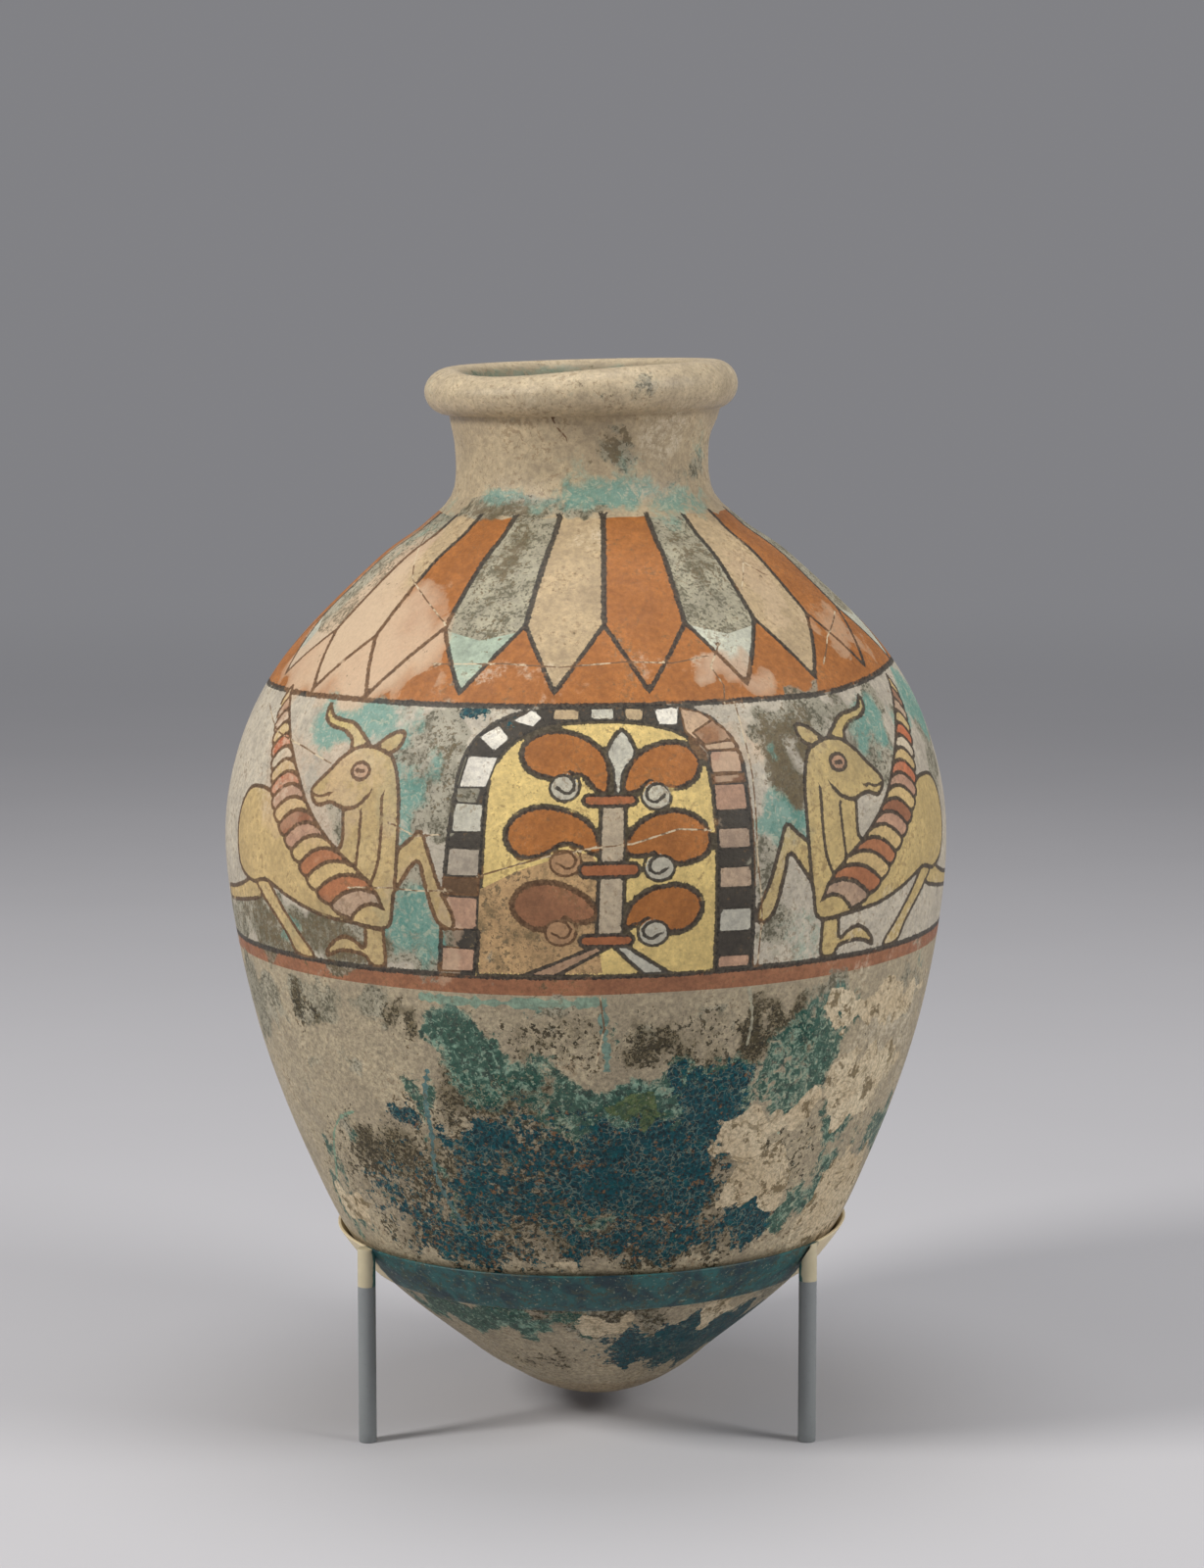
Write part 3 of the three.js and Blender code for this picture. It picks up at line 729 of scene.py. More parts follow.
class Plan:
    """The points and edges for the triangulation of the plane, and the ink's samples in a search tree."""

    def __init__(self):
        self.points, self.edges, self.index = [], [], {}
        self.top = PLANE_V[-1]
        self.add_borders()
        self.add_stroke_sides(self.add_strokes())
        self.add_even_points()

    def point_at(self, p):
        key = (round(p[0] / MERGE), round(p[1] / MERGE))
        if key not in self.index:
            self.index[key] = len(self.points)
            self.points.append((float(p[0]), float(p[1])))
        return self.index[key]

    def add_run(self, run):
        ids = [self.point_at(p) for p in run]
        self.edges.extend((a, b) for a, b in zip(ids, ids[1:]) if a != b)

    def add_borders(self):
        ring = np.radians(np.linspace(-180, 180, RING_STEPS + 1))
        rows = np.interp(np.arange(0, ARC[-1], EDGE_SPACING), ARC, PLANE_V)
        for v in (0, self.top):
            self.add_run([(u, v) for u in ring])
        for u in (-math.pi, math.pi):
            self.add_run([(u, v) for v in [*rows, self.top]])

    def add_strokes(self):
        sides, ink = [], []
        for path in paths:
            for run in visible_runs(path):
                self.add_run(run)
                if path["half"] > 0:
                    sides += stroke_sides(run, path["half"])
                    ink.append(ink_samples(run, path["half"], path["brown"]))
        self.ink = np.vstack(ink)
        self.tree = kdtree.KDTree(len(self.ink))
        for i, place in enumerate(wall_place(self.ink[:, :2])):
            self.tree.insert(place, i)
        self.tree.balance()
        return np.vstack(sides)

    def add_stroke_sides(self, sides):
        """At most one point in each cell, clear of every stroke's ink."""
        u, v = np.abs(sides[:, 0]), sides[:, 1]
        sides = sides[(u < SEAM_REACH) & (v > SIDE_MARGIN) & (v < self.top - SIDE_MARGIN)]
        taken = set()
        for p, place in zip(sides, wall_place(sides)):
            _, near, away = self.tree.find(place)
            key = (*np.floor(place / SIDE_CELL).astype(int), p[0] > 0)
            if away >= self.ink[near, 2] * SIDE_CLEAR and key not in taken:
                taken.add(key)
                self.point_at(p)

    def add_even_points(self):
        for s in np.arange(FILL_SPACING, ARC[-1] - 1, FILL_SPACING):
            v = float(np.interp(s, ARC, PLANE_V))
            count = round(2 * math.pi * plane_radius(v) / FILL_SPACING)
            shift = scatter.uniform(0, 1)
            for k in range(count):
                u = -math.pi + (k + shift) * 2 * math.pi / count
                p = np.array([u, v]) + scatter.uniform(-1, 1, 2) / plane_radius(v)
                if abs(p[0]) > math.pi - SEAM_MARGIN or not FILL_MARGIN < p[1] < self.top - FILL_MARGIN:
                    continue
                if self.tree.find(wall_place(p[None])[0])[2] > CLEAR_OF_STROKES:
                    self.point_at(p)


def neck_flare(azimuth):
    """How far the neck widens where it runs into the rolled rim, in mm: most on the right."""
    return FLARE + FLARE_SWING * np.sin(np.radians(azimuth))


def rim_sag(azimuth, height):
    """How far the rim's top is worn down towards the front left, in mm."""
    away = (azimuth - SAG_AZIMUTH + 180) % 360 - 180
    return SAG * np.exp(-((away / SAG_REACH) ** 2)) * smooth(height, ROLL_H - SAG_RISE, JAR_HEIGHT)


def unevenness(azimuth, height):
    """How far the hand-built wall strays outwards, in mm: nothing near the band and the rim."""
    a = np.radians(azimuth)
    stray = sum(size * np.sin(count * a + height / pitch + phase)
                for size, count, pitch, phase in STRAY_WAVES)
    return stray * smooth(height, 95, 140) * (1 - smooth(height, 372, 400))


def grid_faces(rows, first, around, close=False):
    """Quads between successive rings of a grid whose first ring starts at an index."""
    i = np.arange(around)
    quads = []
    for row in range(rows if close else rows - 1):
        a, b = first + row * around, first + (row + 1) % rows * around
        quads.append(np.column_stack([a + i, a + (i + 1) % around, b + (i + 1) % around, b + i]))
    return np.vstack(quads).tolist()


def even_rings(places, within):
    """The azimuths, radii and heights of rings of (radius, height), and how far inside the jar they are."""
    a = np.tile(np.linspace(-180, 180, RING_STEPS, endpoint=False), len(places))
    r, h = np.repeat(np.array(places), RING_STEPS, axis=0).T
    return a, r, h, np.full(len(a), float(within))


def knob_rings():
    """From the knob's pole out to its crease."""
    shares = np.linspace(0.04, 1, KNOB_RINGS)
    return even_rings([(CREASE_RADIUS * s, KNOB_DEPTH * s * s) for s in shares], 0)


def roll_rings():
    """From the flared neck over the rolled rim to its inner side, which counts as inside."""
    a, share, *_ = even_rings([(share, 0) for share in np.linspace(0, 1, ROLL_RINGS)], 0)
    start = np.arcsin((WALL_R[-1] + neck_flare(a) - ROLL_R) / ROLL_RADIUS) - math.pi / 2
    turns = start + (math.pi - start) * share
    r, h = ROLL_R + ROLL_RADIUS * np.cos(turns), ROLL_H + ROLL_RADIUS * np.sin(turns)
    h[:RING_STEPS] = NECK_TOP
    return a, r, h, smooth(turns, 1.8, 2.5)


def inside_rings():
    """From the rim's inner side down to the middle of the jar's floor."""
    curve, slope = PROFILE[::INSIDE_STRIDE], np.gradient(PROFILE, axis=0)[::INSIDE_STRIDE]
    slope /= np.hypot(*slope.T)[:, None]
    rings = [(ROLL_R - ROLL_RADIUS, ROLL_H)]
    for (r, h), (dr, dh) in zip(curve[::-1], slope[::-1]):
        wall = BODY_WALL + (NECK_WALL - BODY_WALL) * (h / JAR_HEIGHT) ** 2
        r, h = r - wall * dh, h + wall * dr
        if h > FLOOR_THICKNESS + 0.5 and h < rings[-1][1] - 0.3:
            rings.append((r, h))
    return even_rings(rings + [(rings[-1][0] * s, FLOOR_THICKNESS) for s in (0.9, 0.6, 0.3, 0.05)], 1)


def make_mesh(name, vertices, faces):
    mesh = bpy.data.meshes.new(name)
    mesh.from_pydata((np.asarray(vertices) * MM).tolist(), [], faces)
    mesh.update()
    obj = bpy.data.objects.new(name, mesh)
    bpy.context.scene.collection.objects.link(obj)
    return obj


def store_colours(mesh, name, columns):
    """Up to four values at each vertex, as a colour that a material splits into its channels."""
    data = np.tile((0.0, 0.0, 0.0, 1.0), (len(mesh.vertices), 1))
    data[:, : len(columns)] = np.column_stack(columns)
    mesh.attributes.new(name, "FLOAT_COLOR", "POINT").data.foreach_set("color", data.ravel())


def wear_and_painted_light_layers(azimuth, height, within):
    """The patches at each vertex. The inside has stained glaze near the rim instead, and dirt."""
    moved = ragged(azimuth, height)
    kinds = (TEAL, PETROL, BARE, GRIME, MEND, PALE, VEIL)
    layers = [soft_patches(patches, *moved) * (1 - within) for patches in kinds]
    layers[0] = np.maximum(layers[0], within * smooth(height, 380, 425) * 0.8)
    layers[3] = np.maximum(layers[3], within * 0.4)
    return layers


def close_seams(mesh):
    """Joins the wall to its rings and across the seam, and fills what slivers stay open."""
    bm = bmesh.new()
    bm.from_mesh(mesh)
    rim = {v for e in bm.edges if e.is_boundary for v in e.verts}
    bmesh.ops.remove_doubles(bm, verts=list(rim), dist=WELD * MM)
    glaze = bm.loops.layers.float_color["glaze"]
    gaps = [e for e in bm.edges if e.is_boundary]
    for face in bmesh.ops.holes_fill(bm, edges=gaps, sides=4)["faces"] if gaps else []:
        beside = face.loops[0].link_loop_radial_next[glaze].copy()
        for loop in face.loops:
            loop[glaze] = beside
    bmesh.ops.recalc_face_normals(bm, faces=bm.faces)
    print("open edges on the jar:", sum(e.is_boundary for e in bm.edges), "faces:", len(bm.faces))
    bm.to_mesh(mesh)
    bm.free()


def painted_wall():
    """The wall's vertices as azimuths, heights and radii, its triangles and their colours, and for each
    vertex how far away the ink is, in half widths, and how brown."""
    plan = Plan()
    verts, _, triangles, *_ = delaunay_2d_cdt([Vector(p) for p in plan.points], plan.edges, [], 0, 1e-6)
    plane, triangles = np.array([tuple(v) for v in verts]), np.array(triangles)
    triangles = triangles[np.abs(plane[triangles].mean(1)[:, 0]) < math.pi]
    middles = plane[triangles].mean(1)
    colours = np.tile(np.array([*linear(BEIGE), 0.0]), (len(triangles), 1))
    for run, rgb, mottle in fills:
        colours[inside(middles, run)] = (*rgb, mottle / 2)
    used, inverse = np.unique(triangles, return_inverse=True)
    plane, triangles = plane[used], inverse.reshape(-1, 3)
    azimuth, height = np.degrees(plane[:, 0]), np.interp(plane[:, 1], PLANE_V, WALL_H)
    radius = plane_radius(plane[:, 1]) + unevenness(azimuth, height)
    radius += neck_flare(azimuth) * smooth(height, NECK_TOP - FLARE_RISE, NECK_TOP) ** 1.5
    _, nearest, away = zip(*(plan.tree.find(p) for p in wall_place(plane)))
    half, brown = plan.ink[list(nearest), 2:].T
    line_value = np.minimum(np.array(away) / half, LINE_REACH)
    return azimuth, height, radius, triangles.tolist(), colours, line_value, brown


def paint_jar():
    azimuth, height, radius, faces, colours, line_value, brown = painted_wall()
    places, within = stand(azimuth, height, radius), np.zeros(len(azimuth))
    rings, lids = (knob_rings(), roll_rings(), inside_rings()), (KNOB_LID, None, FLOOR_LID)
    for (a, r, h, inner), tint, lid in zip(rings, (TIP, ROLL, INSIDE), lids):
        first = len(places)
        new = grid_faces(len(a) // RING_STEPS, first, RING_STEPS)
        if lid:
            new.append(list(range(first, first + len(a)))[lid])
        faces += new
        colours = np.vstack([colours, np.tile(np.array([*linear(tint), 0.1]), (len(new), 1))])
        places = np.vstack([places, stand(a, h - rim_sag(a, h), r)])
        added = (a, h, inner, np.full(len(a), LINE_REACH), np.zeros(len(a)))
        azimuth, height, within, line_value, brown = (
            np.concatenate(pair) for pair in zip((azimuth, height, within, line_value, brown), added))
    obj = make_mesh("painted_jar", places, faces)
    mesh = obj.data
    loops = np.repeat(colours, [p.loop_total for p in mesh.polygons], axis=0)
    mesh.attributes.new("glaze", "FLOAT_COLOR", "CORNER").data.foreach_set("color", loops.ravel())
    *coat, mend, pale, veil = wear_and_painted_light_layers(azimuth, height, within)
    store_colours(mesh, "coat", coat)
    store_colours(mesh, "wear_and_painted_light", (mend, pale, brown, within))
    for name, values in (("veil", veil), ("line", line_value)):
        mesh.attributes.new(name, "FLOAT", "POINT").data.foreach_set("value", values)
    close_seams(mesh)
    mesh.polygons.foreach_set("use_smooth", [True] * len(mesh.polygons))
    return obj


# Materials.

class Value:
    """A number in a material. Its sums, differences and products are nodes; a | b is the larger."""

    def __init__(self, graph, socket):
        self.graph, self.socket = graph, socket

    def __add__(self, other):
        return self.graph.math("ADD", self, other)

    def __sub__(self, other):
        return self.graph.math("SUBTRACT", self, other)

    def __rsub__(self, other):
        return self.graph.math("SUBTRACT", other, self)

    def __mul__(self, other):
        return self.graph.math("MULTIPLY", self, other)

    def __or__(self, other):
        return self.graph.math("MAXIMUM", self, other)

    def step(self, low, high, to_low=0.0, to_high=1.0):
        """A smooth rise from to_low to to_high as the value goes from low to high."""
        return self.graph.step(self, low, high, to_low, to_high)

    def between(self, low, high, a, b):
        """The colour a where the value is low, and b where it is high."""
        return self.graph.mix(self.step(low, high), a, b)

    def stirred(self, noise, width):
        """The value, raised and lowered by noise."""
        return self.graph.math("MULTIPLY_ADD", noise - 0.5, width, self)

    def frayed(self, noise, width, low, high):
        """A mask with an edge broken up by noise."""
        return self.stirred(noise, width).step(low, high)


class Graph:
    """A material's node tree, with short calls for the nodes used here. A tuple of three values is an sRGB
    colour of 0 to 255, and one of four is taken as it is."""

    def __init__(self, name):
        self.material = bpy.data.materials.new(name)
        self.material.use_nodes = True
        self.tree = self.material.node_tree
        self.shader = next(n for n in self.tree.nodes if n.type == "BSDF_PRINCIPLED")
        self.place = self.add("TexCoord").outputs["Object"]

    def add(self, kind, **settings):
        node = self.tree.nodes.new("ShaderNode" + kind)
        for key, value in settings.items():
            setattr(node, key, value)
        return node

    def put(self, socket, value):
        value = getattr(value, "socket", value)
        if isinstance(value, bpy.types.NodeSocket):
            self.tree.links.new(value, socket)
        elif socket.type == "RGBA" and len(value) == 3:
            socket.default_value = (*linear(value), 1)
        else:
            socket.default_value = value

    def fed(self, node, inputs):
        """The node, with its inputs given by name or number."""
        for key, value in inputs.items():
            self.put(node.inputs[key], value)
        return node

    def attribute(self, name):
        return self.add("Attribute", attribute_name=name)

    def amount(self, name):
        return Value(self, self.attribute(name).outputs["Fac"])

    def channels(self, name):
        source = self.attribute(name)
        split = self.fed(self.add("SeparateColor"), {0: source.outputs["Color"]})
        return [Value(self, socket) for socket in (*split.outputs[:3], source.outputs["Alpha"])]

    def noise(self, scale, detail=3, rough=0.55, warp=0.0, stretch=1.0):
        place = self.place
        if stretch != 1.0:
            squeezed = self.add("VectorMath", operation="MULTIPLY")
            place = self.fed(squeezed, {0: place, 1: (1, 1, 1 / stretch)}).outputs[0]
        inputs = {"Vector": place, "Scale": scale, "Detail": detail, "Roughness": rough, "Distortion": warp}
        return Value(self, self.fed(self.add("TexNoise"), inputs).outputs["Fac"])

    def height(self):
        return Value(self, self.fed(self.add("SeparateXYZ"), {0: self.place}).outputs["Z"])

    def cracks(self, scale, low, high, warp):
        """A net of cracks: 1 on the cracks and 0 away from them."""
        shift = self.fed(self.add("TexNoise"), {"Vector": self.place, "Scale": scale * 0.9})
        moved = self.add("VectorMath", operation="MULTIPLY_ADD")
        self.fed(moved, {0: shift.outputs["Color"], 1: (warp,) * 3, 2: self.place})
        cells = self.add("TexVoronoi", feature="DISTANCE_TO_EDGE")
        self.fed(cells, {"Vector": moved.outputs[0], "Scale": scale})
        return self.step(cells.outputs["Distance"], high, low)

    def step(self, value, low, high, to_low=0.0, to_high=1.0):
        node = self.add("MapRange", interpolation_type="SMOOTHSTEP")
        inputs = dict(enumerate((value, low, high, to_low, to_high)))
        return Value(self, self.fed(node, inputs).outputs[0])

    def math(self, operation, *inputs):
        node = self.add("Math", operation=operation)
        return Value(self, self.fed(node, dict(enumerate(inputs))).outputs[0])

    def mix(self, share, a, b, blend="MIX"):
        node = self.add("Mix", data_type="RGBA", blend_type=blend)
        return self.fed(node, {0: share, 6: a, 7: b}).outputs[2]

    def bump(self, height, strength, distance):
        inputs = {"Height": height, "Strength": strength, "Distance": distance}
        return self.fed(self.add("Bump"), inputs).outputs[0]

    def finish(self, colour, rough, **inputs):
        self.fed(self.shader, {"Base Color": colour, "Roughness": rough})
        self.fed(self.shader, {key.replace("_", " "): value for key, value in inputs.items()})
        return self.material


class JarGlaze(Graph):
    """The jar's paint and, laid on it in turn, its repairs, stains, glazes, bare clay and lines, with
    painted light on the right of the neck and painted shade inside.
    """

    def __init__(self):
        super().__init__("painted_glaze")
        glaze = self.attribute("glaze")
        self.colour = glaze.outputs["Color"]
        self.teal, self.petrol, self.bare, self.grime = self.channels("coat")
        self.mend, self.pale, self.brown, self.within = self.channels("wear_and_painted_light")
        self.veil, self.line = self.amount("veil"), self.amount("line")
        self.cloud, self.broad = self.noise(14, 6, 0.6), self.noise(45, 10, 0.68, 0.3)
        self.medium, self.grit = self.noise(140, 8, 0.65), self.noise(380, 8, 0.75)
        self.crisp, self.dotted = self.noise(330, 4, 0.7), self.noise(480, 3, 0.65)
        self.fine, self.specks = self.noise(700, 4, 0.65), self.noise(1150, 2, 0.6)
        self.leafy, self.streak = self.noise(240, 5, 0.7, 0.8), self.noise(120, 6, 0.7, 0.2, 5.0)
        self.low, self.neck = self.height().step(0.215, 0.19), self.height().step(0.383, 0.393)
        mottle = Value(self, glaze.outputs["Alpha"])
        kept = mottle.step(0.6, 0.8)
        self.exposed, self.mottle = 1.0 - kept * 0.88, mottle * 2.0 * (1.0 - kept)
        for stage in (self.ground, self.repairs, self.speckle, self.soil, self.green_glaze, self.petrol_glaze,
                      self.moss, self.bare_clay, self.grain, self.lines, self.surface):
            stage()

    def lay(self, share, tint):
        self.colour = self.mix(share, self.colour, tint)

    def shaded(self, noise, low, high, dark, light):
        """The colour made darker and lighter by noise."""
        return self.mix(1.0, self.colour, noise.between(low, high, dark, light), "MULTIPLY")

    def ground(self):
        self.colour = self.shaded(self.broad, 0.3, 0.7, (0.80, 0.79, 0.79, 1), (1.14, 1.14, 1.12, 1))
        self.colour = self.shaded(self.grit, 0.34, 0.66, (0.80, 0.80, 0.81, 1), (1.12, 1.12, 1.10, 1))
        self.lay(self.dotted.stirred(self.broad, 0.8).step(0.60, 0.65, 0, 0.42), (118, 90, 58))

    def repairs(self):
        # Pale scoured paint, which on the right of the neck is painted light on that side.
        scoured_and_lit = self.pale.frayed(self.broad, 2.4, 0.46, 0.86) * self.grit.step(0.44, 0.60)
        self.lay(scoured_and_lit * 0.55, (204, 192, 170))
        self.mended = self.mend.frayed(self.broad, 1.2, 0.44, 0.52)
        plaster = self.cloud.between(0.4, 0.6, (206, 180, 150), (190, 158, 130))
        self.lay(self.mended * self.mend.step(0.35, 1.0, 0.2, 0.86), plaster)

    def speckle(self):
        """A grey veil with dark dots, on the paint that is mottled and where the glaze has turned."""
        veiled = self.veil.frayed(self.broad, 2.4, 0.36, 0.56) * self.exposed
        veiled = veiled * self.streak.step(0.36, 0.50, 0.65, 1.0)
        self.lay(veiled * 0.8, self.broad.between(0.35, 0.65, (130, 126, 106), (164, 158, 138)))
        blotch = self.grit.stirred(self.medium, 0.9).step(0.50, 0.60)
        dots = self.fine.stirred(self.medium, 0.6).step(0.52, 0.57)
        self.lay((blotch * 0.5 | dots) * (self.mottle | veiled) * 0.82, (74, 70, 52))

    def soil(self):
        """A brown stain, with crisp flakes on the neck and a fine crust below it."""
        stain = self.grime.frayed(self.medium, 1.6, 0.28, 0.95) * self.exposed
        self.lay(stain * (0.66 - self.neck * 0.46), (90, 80, 54))
        flakes = self.medium.stirred(self.grime, 0.34).step(0.565, 0.578) * self.neck
        crust = self.dotted.stirred(self.grime, 0.34).stirred(self.broad, 0.5).stirred(self.streak, 0.25)
        self.dirty = (flakes | crust.step(0.535, 0.56) * (1.0 - self.neck)) * self.exposed
        tone = self.mix(self.low, (88, 74, 54), (24, 21, 12))
        tone = self.fine.between(0.36, 0.62, tone, self.mix(self.low, (120, 106, 80), (64, 56, 36)))
        self.lay(self.dirty * (self.low * 0.16 + 0.72), tone)

    def green_glaze(self):
        green = (self.teal * 0.6).stirred(self.broad, 0.8).stirred(self.leafy, 0.9)
        green = green.step(0.32 - self.low * 0.08, 0.66 - self.low * 0.30, 0.0, 1.0)
        green = green * self.teal.step(0.03, 0.15) * self.exposed
        light = self.teal.between(0.45, 0.9, (168, 176, 150), (120, 152, 132))
        light = self.mix(self.low, (180, 190, 170), light)
        depth = self.leafy.stirred(self.broad, 0.5) + self.teal * 0.16
        tone = depth.between(0.50, 0.64, light, self.mix(self.low, (96, 150, 138), (30, 78, 66)))
        upper = 1.0 - self.low
        for where, noise, low, high, most, tint in (
            (self.low, self.crisp, 0.55, 0.58, 0.8, (18, 50, 46)),
            (self.low, self.dotted, 0.60, 0.63, 0.7, (150, 168, 146)),
            (upper, self.crisp, 0.53, 0.60, 0.6, (84, 138, 124)),
            (upper, self.leafy, 0.54, 0.61, 0.65, (184, 188, 164)),
        ):
            tone = self.mix(where * noise.step(low, high, 0, most), tone, tint)
        self.lay(green * (self.low * 0.15 + 0.78), tone)

    def petrol_glaze(self):
        """Deep blue-green glaze, crazed and with rusty spots."""
        deep = (self.petrol * 0.56).stirred(self.broad, 0.7).stirred(self.crisp, 1.2) - self.teal * 0.16
        self.deep = deep.step(0.285, 0.325) * self.exposed * self.petrol.step(0.03, 0.15)
        sea = self.fine.between(0.36, 0.60, (0, 26, 34), (0, 74, 82))
        sea = self.mix(self.medium.step(0.54, 0.64, 0, 0.5), sea, (6, 92, 94))
        rust = self.noise(420, 3, 0.6, 0.5) + (self.grime - self.petrol) * 0.06
        brown = self.crisp.between(0.45, 0.55, (56, 46, 28), (126, 88, 54))
        self.lay(self.deep, self.mix(rust.step(0.58, 0.60, 0, 0.85), sea, brown))
        crazed = self.cracks(300, 0.02, 0.07, 0.006) * self.noise(75, 5, 0.7).step(0.42, 0.54)
        self.crazed = crazed * (self.deep | self.dirty * self.low)
        self.lay(self.crazed * 0.45, self.mix(self.deep, (158, 142, 110), (140, 148, 128)))

    def moss(self):
        moss = (self.veil.stirred(self.broad, 1.0) + self.leafy * 1.2).step(1.55, 1.75) * self.low
        self.lay(moss * 0.8, self.leafy.between(0.42, 0.58, (48, 70, 42), (98, 112, 66)))

    def bare_clay(self):
        self.worn = self.bare.frayed(self.noise(60, 10, 0.66, 0.5), 1.5, 0.47, 0.50)
        clay = self.broad.between(0.3, 0.7, (188, 168, 136), (210, 194, 164))
        channel = self.math("ABSOLUTE", self.noise(38, 3, 0.6, 1.0) - 0.5).step(0.012, 0.003)
        for share, tint in (
            (self.grit.step(0.50, 0.64, 0, 0.5), (128, 112, 84)),
            (self.noise(120, 9, 0.68).step(0.56, 0.58, 0, 0.8), (104, 88, 58)),
            (channel * 0.55, (112, 98, 66)),
        ):
            clay = self.mix(share, clay, tint)
        self.lay(self.worn, clay)

    def grain(self):
        """Fine dark and light grain, pale bloom and dark pits over all of it."""
        sand = self.noise(620, 6, 0.8)
        grained = self.shaded(sand, 0.38, 0.60, (0.66, 0.67, 0.67, 1), (1.22, 1.22, 1.22, 1))
        self.lay(self.low * 0.7 + 0.2, grained)
        bloom = self.specks.step(0.60, 0.70) * (self.broad.step(0.48, 0.6) | self.dirty)
        self.lay(bloom * (1.0 - self.deep * 0.75) * (self.low * 0.3 + 0.2), (180, 170, 142))
        self.lay((self.fine * 0.5 + self.specks * 0.5).step(0.37, 0.31) * 0.45, (70, 60, 44))

    def lines(self):
        """Ink, brown where the paint was mended, and pale in the hairline cracks; a net of finer cracks;
        and painted shade that darkens the inside of the jar."""
        inked = self.line.stirred(self.specks, 1.3).stirred(self.grit, 1.6).step(1.2, 0.85)
        black = self.fine.between(0.35, 0.7, (36, 32, 28), (84, 76, 64))
        brown = self.fine.between(0.35, 0.7, (86, 58, 34), (132, 98, 66))
        ink = self.mix(self.brown | self.mended * 0.9, black, brown)
        hairline = self.medium.between(0.46, 0.56, (112, 84, 58), (206, 188, 156))
        ink = self.brown.between(1.3, 1.7, ink, hairline)
        self.lay(inked * (0.95 - self.medium.step(0.60, 0.70) * 0.65), ink)
        net = self.cracks(120, 0.0, 0.02, 0.008) * self.cloud.step(0.5, 0.62)
        self.lay(net * 0.35, (96, 82, 62))
        # Painted shade: the whole inside of the jar is darkened towards dark brown.
        self.lay(self.within * 0.6, (88, 80, 58))

    def surface(self):
        rough = (self.medium * 0.6 + self.fine * 0.4).step(0.3, 0.7, 0.38, 0.66)
        rough = rough - self.height().step(0.30, 0.40) * 0.14 + (self.worn | self.dirty) * 0.22
        relief = self.fine * 0.25 + self.grit * 0.9 - self.crazed * 0.3 - self.worn * 0.4
        self.finish(self.colour, rough, Normal=self.bump(relief, 0.4, 0.0010), Specular_IOR_Level=0.32)


def band_material():
    g = Graph("mottled_band_paint")
    cream_share = g.channels("side")[0]
    broad, medium, fine = g.noise(90, 6, 0.65, 0.5), g.noise(260, 6, 0.65), g.noise(620, 3, 0.6)
    sea = broad.between(0.35, 0.65, (4, 42, 52), (30, 92, 90))
    for noise, low, high, most, tint in (
        (medium, 0.53, 0.60, 0.7, (104, 138, 124)),
        (g.noise(260, 8, 0.75), 0.52, 0.57, 0.85, (48, 48, 36)),
        (fine, 0.60, 0.70, 0.6, (150, 156, 136)),
    ):
        sea = g.mix(noise.step(low, high, 0, most), sea, tint)
    cream = g.mix(medium, (228, 212, 176), (206, 188, 150))
    colour = g.mix(cream_share.frayed(medium, 0.6, 0.4, 0.6), sea, cream)
    return g.finish(colour, medium.step(0.3, 0.7, 0.4, 0.6), Normal=g.bump(fine, 0.2, 0.0005))


def leg_material():
    g = Graph("leg_paint")
    painted, inner = g.channels("side")[:2]
    medium, fine = g.noise(160, 5, 0.6), g.noise(700, 3)
    steel = g.mix(medium, (122, 126, 127), (134, 138, 138))
    steel = g.mix(fine.step(0.6, 0.75, 0, 0.25), steel, (100, 104, 104))
    cream = g.mix(medium, (202, 190, 158), (176, 166, 138))
    cream = g.mix(inner.frayed(medium, 0.9, 0.42, 0.6), cream, g.mix(fine, (24, 76, 82), (96, 132, 120)))
    colour = g.mix(painted.frayed(medium, 0.25, 0.45, 0.55), steel, cream)
    return g.finish(colour, medium.step(0.3, 0.7, 0.34, 0.5), Normal=g.bump(fine, 0.12, 0.0003))


# The cradle.

BAND_STEPS, BAND_ROWS, BAND_SOFT = 240, 9, 0.45
LEG_STEPS, LEG_SOFT, NOTCH_MARGIN = 64, 0.4, 1.5
CREAM_DOWN_TO, CREAM_FADE = 17.5, 3


def band_outer(height):
    share = 1 - (BAND_TOP - height) / BAND_WIDTH
    return np.interp(height, WALL_H, WALL_R) + BAND_CLEARANCE + BAND_FLARE * share + BAND_THICKNESS


def make_band():
    """A flared strip with softened edges, cream on its sides and painted like the jar in front."""
    low, high = BAND_TOP - BAND_WIDTH, BAND_TOP
    heights = np.linspace(low, high, BAND_ROWS)
    ends = (0, BAND_ROWS - 1)
    outer = [(band_outer(h) - (BAND_SOFT if i in ends else 0), h) for i, h in enumerate(heights)]
    outer.insert(1, (band_outer(low + BAND_SOFT), low + BAND_SOFT))
    outer.insert(-1, (band_outer(high - BAND_SOFT), high - BAND_SOFT))
    inner = [(band_outer(h) - BAND_THICKNESS + (BAND_SOFT * 0.6 if i in ends else 0), h)
             for i, h in enumerate(heights)]
    ring = outer + inner[::-1]
    a = np.tile(np.linspace(-180, 180, BAND_STEPS, endpoint=False), len(ring))
    r, h = np.repeat(np.array(ring), BAND_STEPS, axis=0).T
    x, z = lean(r * np.sin(np.radians(a)), h)
    faces = grid_faces(len(ring), 0, BAND_STEPS, close=True)
    obj = make_mesh("painted_band", np.column_stack([x, -r * np.cos(np.radians(a)), z]), faces)
    cream = smooth(np.abs(a), 56, 64) * (1 - 0.75 * smooth(np.abs(a), 120, 150))
    store_colours(obj.data, "side", [cream])
    return obj


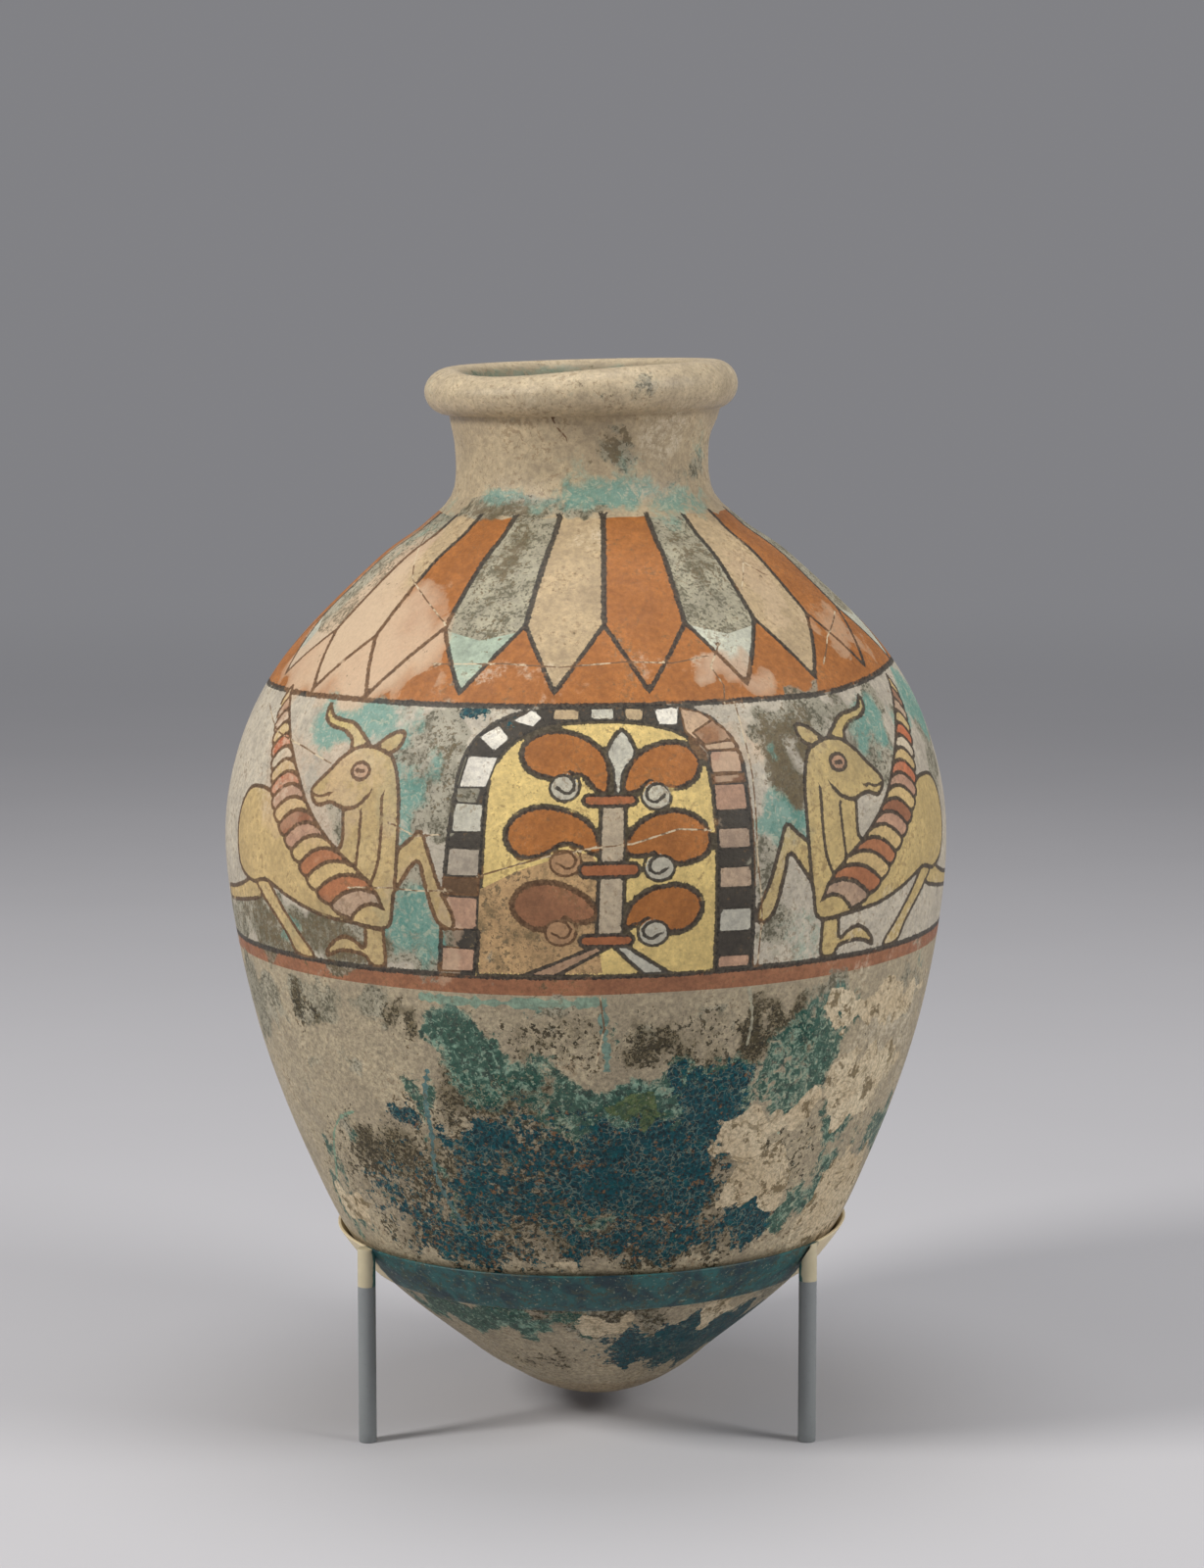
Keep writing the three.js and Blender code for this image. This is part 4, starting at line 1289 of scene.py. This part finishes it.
def make_leg(name, azimuth):
    """A round rod whose top is cut back where the band's outer face passes it."""
    a, turn, soft = math.radians(azimuth), math.radians(LEAN), LEG_SOFT
    reach = band_outer(BAND_TOP) - LEG_INSET
    cx, cy = reach * math.sin(a), -reach * math.cos(a)
    tall = TIP_CLEARANCE + BAND_TOP + (cx - (BELLY - BAND_TOP) * math.sin(turn)) * math.sin(turn)
    between = [*np.linspace(4, tall - 24, 8), *np.linspace(tall - 22, tall - soft, 24)]
    levels = [0, soft * 0.3, soft, *between, tall - soft * 0.3, tall]
    ends = [LEG_RADIUS - soft, LEG_RADIUS - soft * 0.3]
    sizes = ends + [LEG_RADIUS] * (len(levels) - 4) + ends[::-1]
    t = np.linspace(0, 2 * math.pi, LEG_STEPS, endpoint=False)
    rows = []
    for level, size in zip(levels, sizes):
        x, y = cx + size * np.cos(t), cy + size * np.sin(t)
        own = level - TIP_CLEARANCE
        if own > BAND_TOP - BAND_WIDTH - NOTCH_MARGIN:
            limit = band_outer(min(max(own, BAND_TOP - BAND_WIDTH), BAND_TOP)) + LEG_NOTCH
            shift_x = float(lean(0, own)[0])
            push = np.maximum(limit / np.hypot(x - shift_x, y), 1)
            x, y = shift_x + (x - shift_x) * push, y * push
        rows.append(np.column_stack([x, y, np.full(LEG_STEPS, level)]))
    first_of_top = (len(rows) - 1) * LEG_STEPS
    faces = grid_faces(len(rows), 0, LEG_STEPS)
    faces += [list(range(LEG_STEPS))[::-1], list(range(first_of_top, first_of_top + LEG_STEPS))]
    x, y, z = np.vstack(rows).T
    obj = make_mesh(name, np.column_stack([x, y, z]), faces)
    inward = -((x - cx) * cx + (y - cy) * cy) / reach / LEG_RADIUS
    towards_front = ((x - cx) * -np.sign(cx)) / LEG_RADIUS
    painted = smooth(z, tall - CREAM_DOWN_TO, tall - CREAM_DOWN_TO + CREAM_FADE)
    inner = np.clip(0.5 * inward + 0.6 * towards_front, 0, 1)
    store_colours(obj.data, "side", [painted, inner])
    return obj


def shade_by_angle(obj, degrees=35):
    bm = bmesh.new()
    bm.from_mesh(obj.data)
    bmesh.ops.recalc_face_normals(bm, faces=bm.faces)
    for face in bm.faces:
        face.smooth = True
    for edge in bm.edges:
        edge.smooth = not edge.is_manifold or edge.calc_face_angle(0) < math.radians(degrees)
    bm.to_mesh(obj.data)
    bm.free()


def dress(obj, material, node):
    obj.data.materials.append(material)
    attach(obj, "root")
    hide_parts(node)


dress(paint_jar(), JarGlaze().material, "jar")
band = make_band()
shade_by_angle(band)
dress(band, band_material(), "cradle_band")
leg_paint = leg_material()
for side, azimuth in LEG_AZIMUTHS.items():
    leg = make_leg(f"{side}_rod", azimuth)
    shade_by_angle(leg)
    dress(leg, leg_paint, f"{side}_leg")

# The stage, the light and the camera, in metres.

HALF_FLOOR = 6
BACKDROP, BACKDROP_STRENGTH = (0.49, 0.49, 0.52, 1), 0.45
FADE_FROM, FADE_TO = 1.2, 4.5


def floor_material():
    """Pale paper that fades into the backdrop's light far from the jar."""
    g = Graph("floor_paper")
    g.finish(g.mix(g.noise(3, 3), (188, 187, 190), (194, 193, 196)), 0.8)
    distance = g.add("VectorMath", operation="LENGTH")
    g.put(distance.inputs[0], g.place)
    glow = g.add("Emission")
    g.fed(glow, {"Color": BACKDROP, "Strength": BACKDROP_STRENGTH})
    blend = g.add("MixShader")
    far = g.step(distance.outputs["Value"], FADE_FROM, FADE_TO)
    g.fed(blend, {0: far, 1: g.shader.outputs[0], 2: glow.outputs[0]})
    g.put(next(n for n in g.tree.nodes if n.type == "OUTPUT_MATERIAL").inputs[0], blend.outputs[0])
    return g.material


corners = [(x * HALF_FLOOR, y * HALF_FLOOR, 0) for x, y in ((-1, -1), (1, -1), (1, 1), (-1, 1))]
floor_mesh = bpy.data.meshes.new("floor")
floor_mesh.from_pydata(corners, [], [(0, 1, 2, 3)])
floor_mesh.materials.append(floor_material())
floor = bpy.data.objects.new("floor", floor_mesh)
bpy.context.scene.collection.objects.link(floor)

world = bpy.data.worlds.new("studio")
world.use_nodes = True
background = world.node_tree.nodes["Background"]
background.inputs["Color"].default_value = BACKDROP
background.inputs["Strength"].default_value = BACKDROP_STRENGTH
bpy.context.scene.world = world


def soft_light(name, place, aim, size, power, colour=(1, 1, 1)):
    lamp = bpy.data.lights.new(name, "AREA")
    lamp.shape, lamp.size, lamp.energy, lamp.color = "DISK", size, power, colour
    obj = bpy.data.objects.new(name, lamp)
    obj.location = place
    obj.rotation_euler = (Vector(aim) - Vector(place)).to_track_quat("-Z", "Y").to_euler()
    bpy.context.scene.collection.objects.link(obj)


soft_light("key", (-2.0, -1.0, 1.75), (0, 0, 0.25), 0.7, 54, (1, 0.98, 0.95))
soft_light("fill", (2.0, -0.9, 1.5), (0, 0, 0.25), 1.0, 33, (1, 0.99, 0.97))
soft_light("overhead", (0, 0.1, 2.3), (0, 0, 0.3), 1.2, 14)

CAMERA_X, CAMERA_DISTANCE, CAMERA_HEIGHT, CAMERA_PITCH = 0.0063, 1.59, 0.4679, 7.2
FOCAL_PIXELS, IMAGE_HEIGHT, SENSOR = 3894, 1600, 36
camera = bpy.data.cameras.new("camera")
camera.sensor_width = SENSOR
camera.lens = SENSOR * FOCAL_PIXELS / IMAGE_HEIGHT
camera_object = bpy.data.objects.new("camera", camera)
camera_object.location = (CAMERA_X, -CAMERA_DISTANCE, CAMERA_HEIGHT)
camera_object.rotation_euler = (math.radians(90 - CAMERA_PITCH), 0, 0)
bpy.context.scene.collection.objects.link(camera_object)
bpy.context.scene.camera = camera_object
bpy.context.scene.view_settings.view_transform = "Standard"
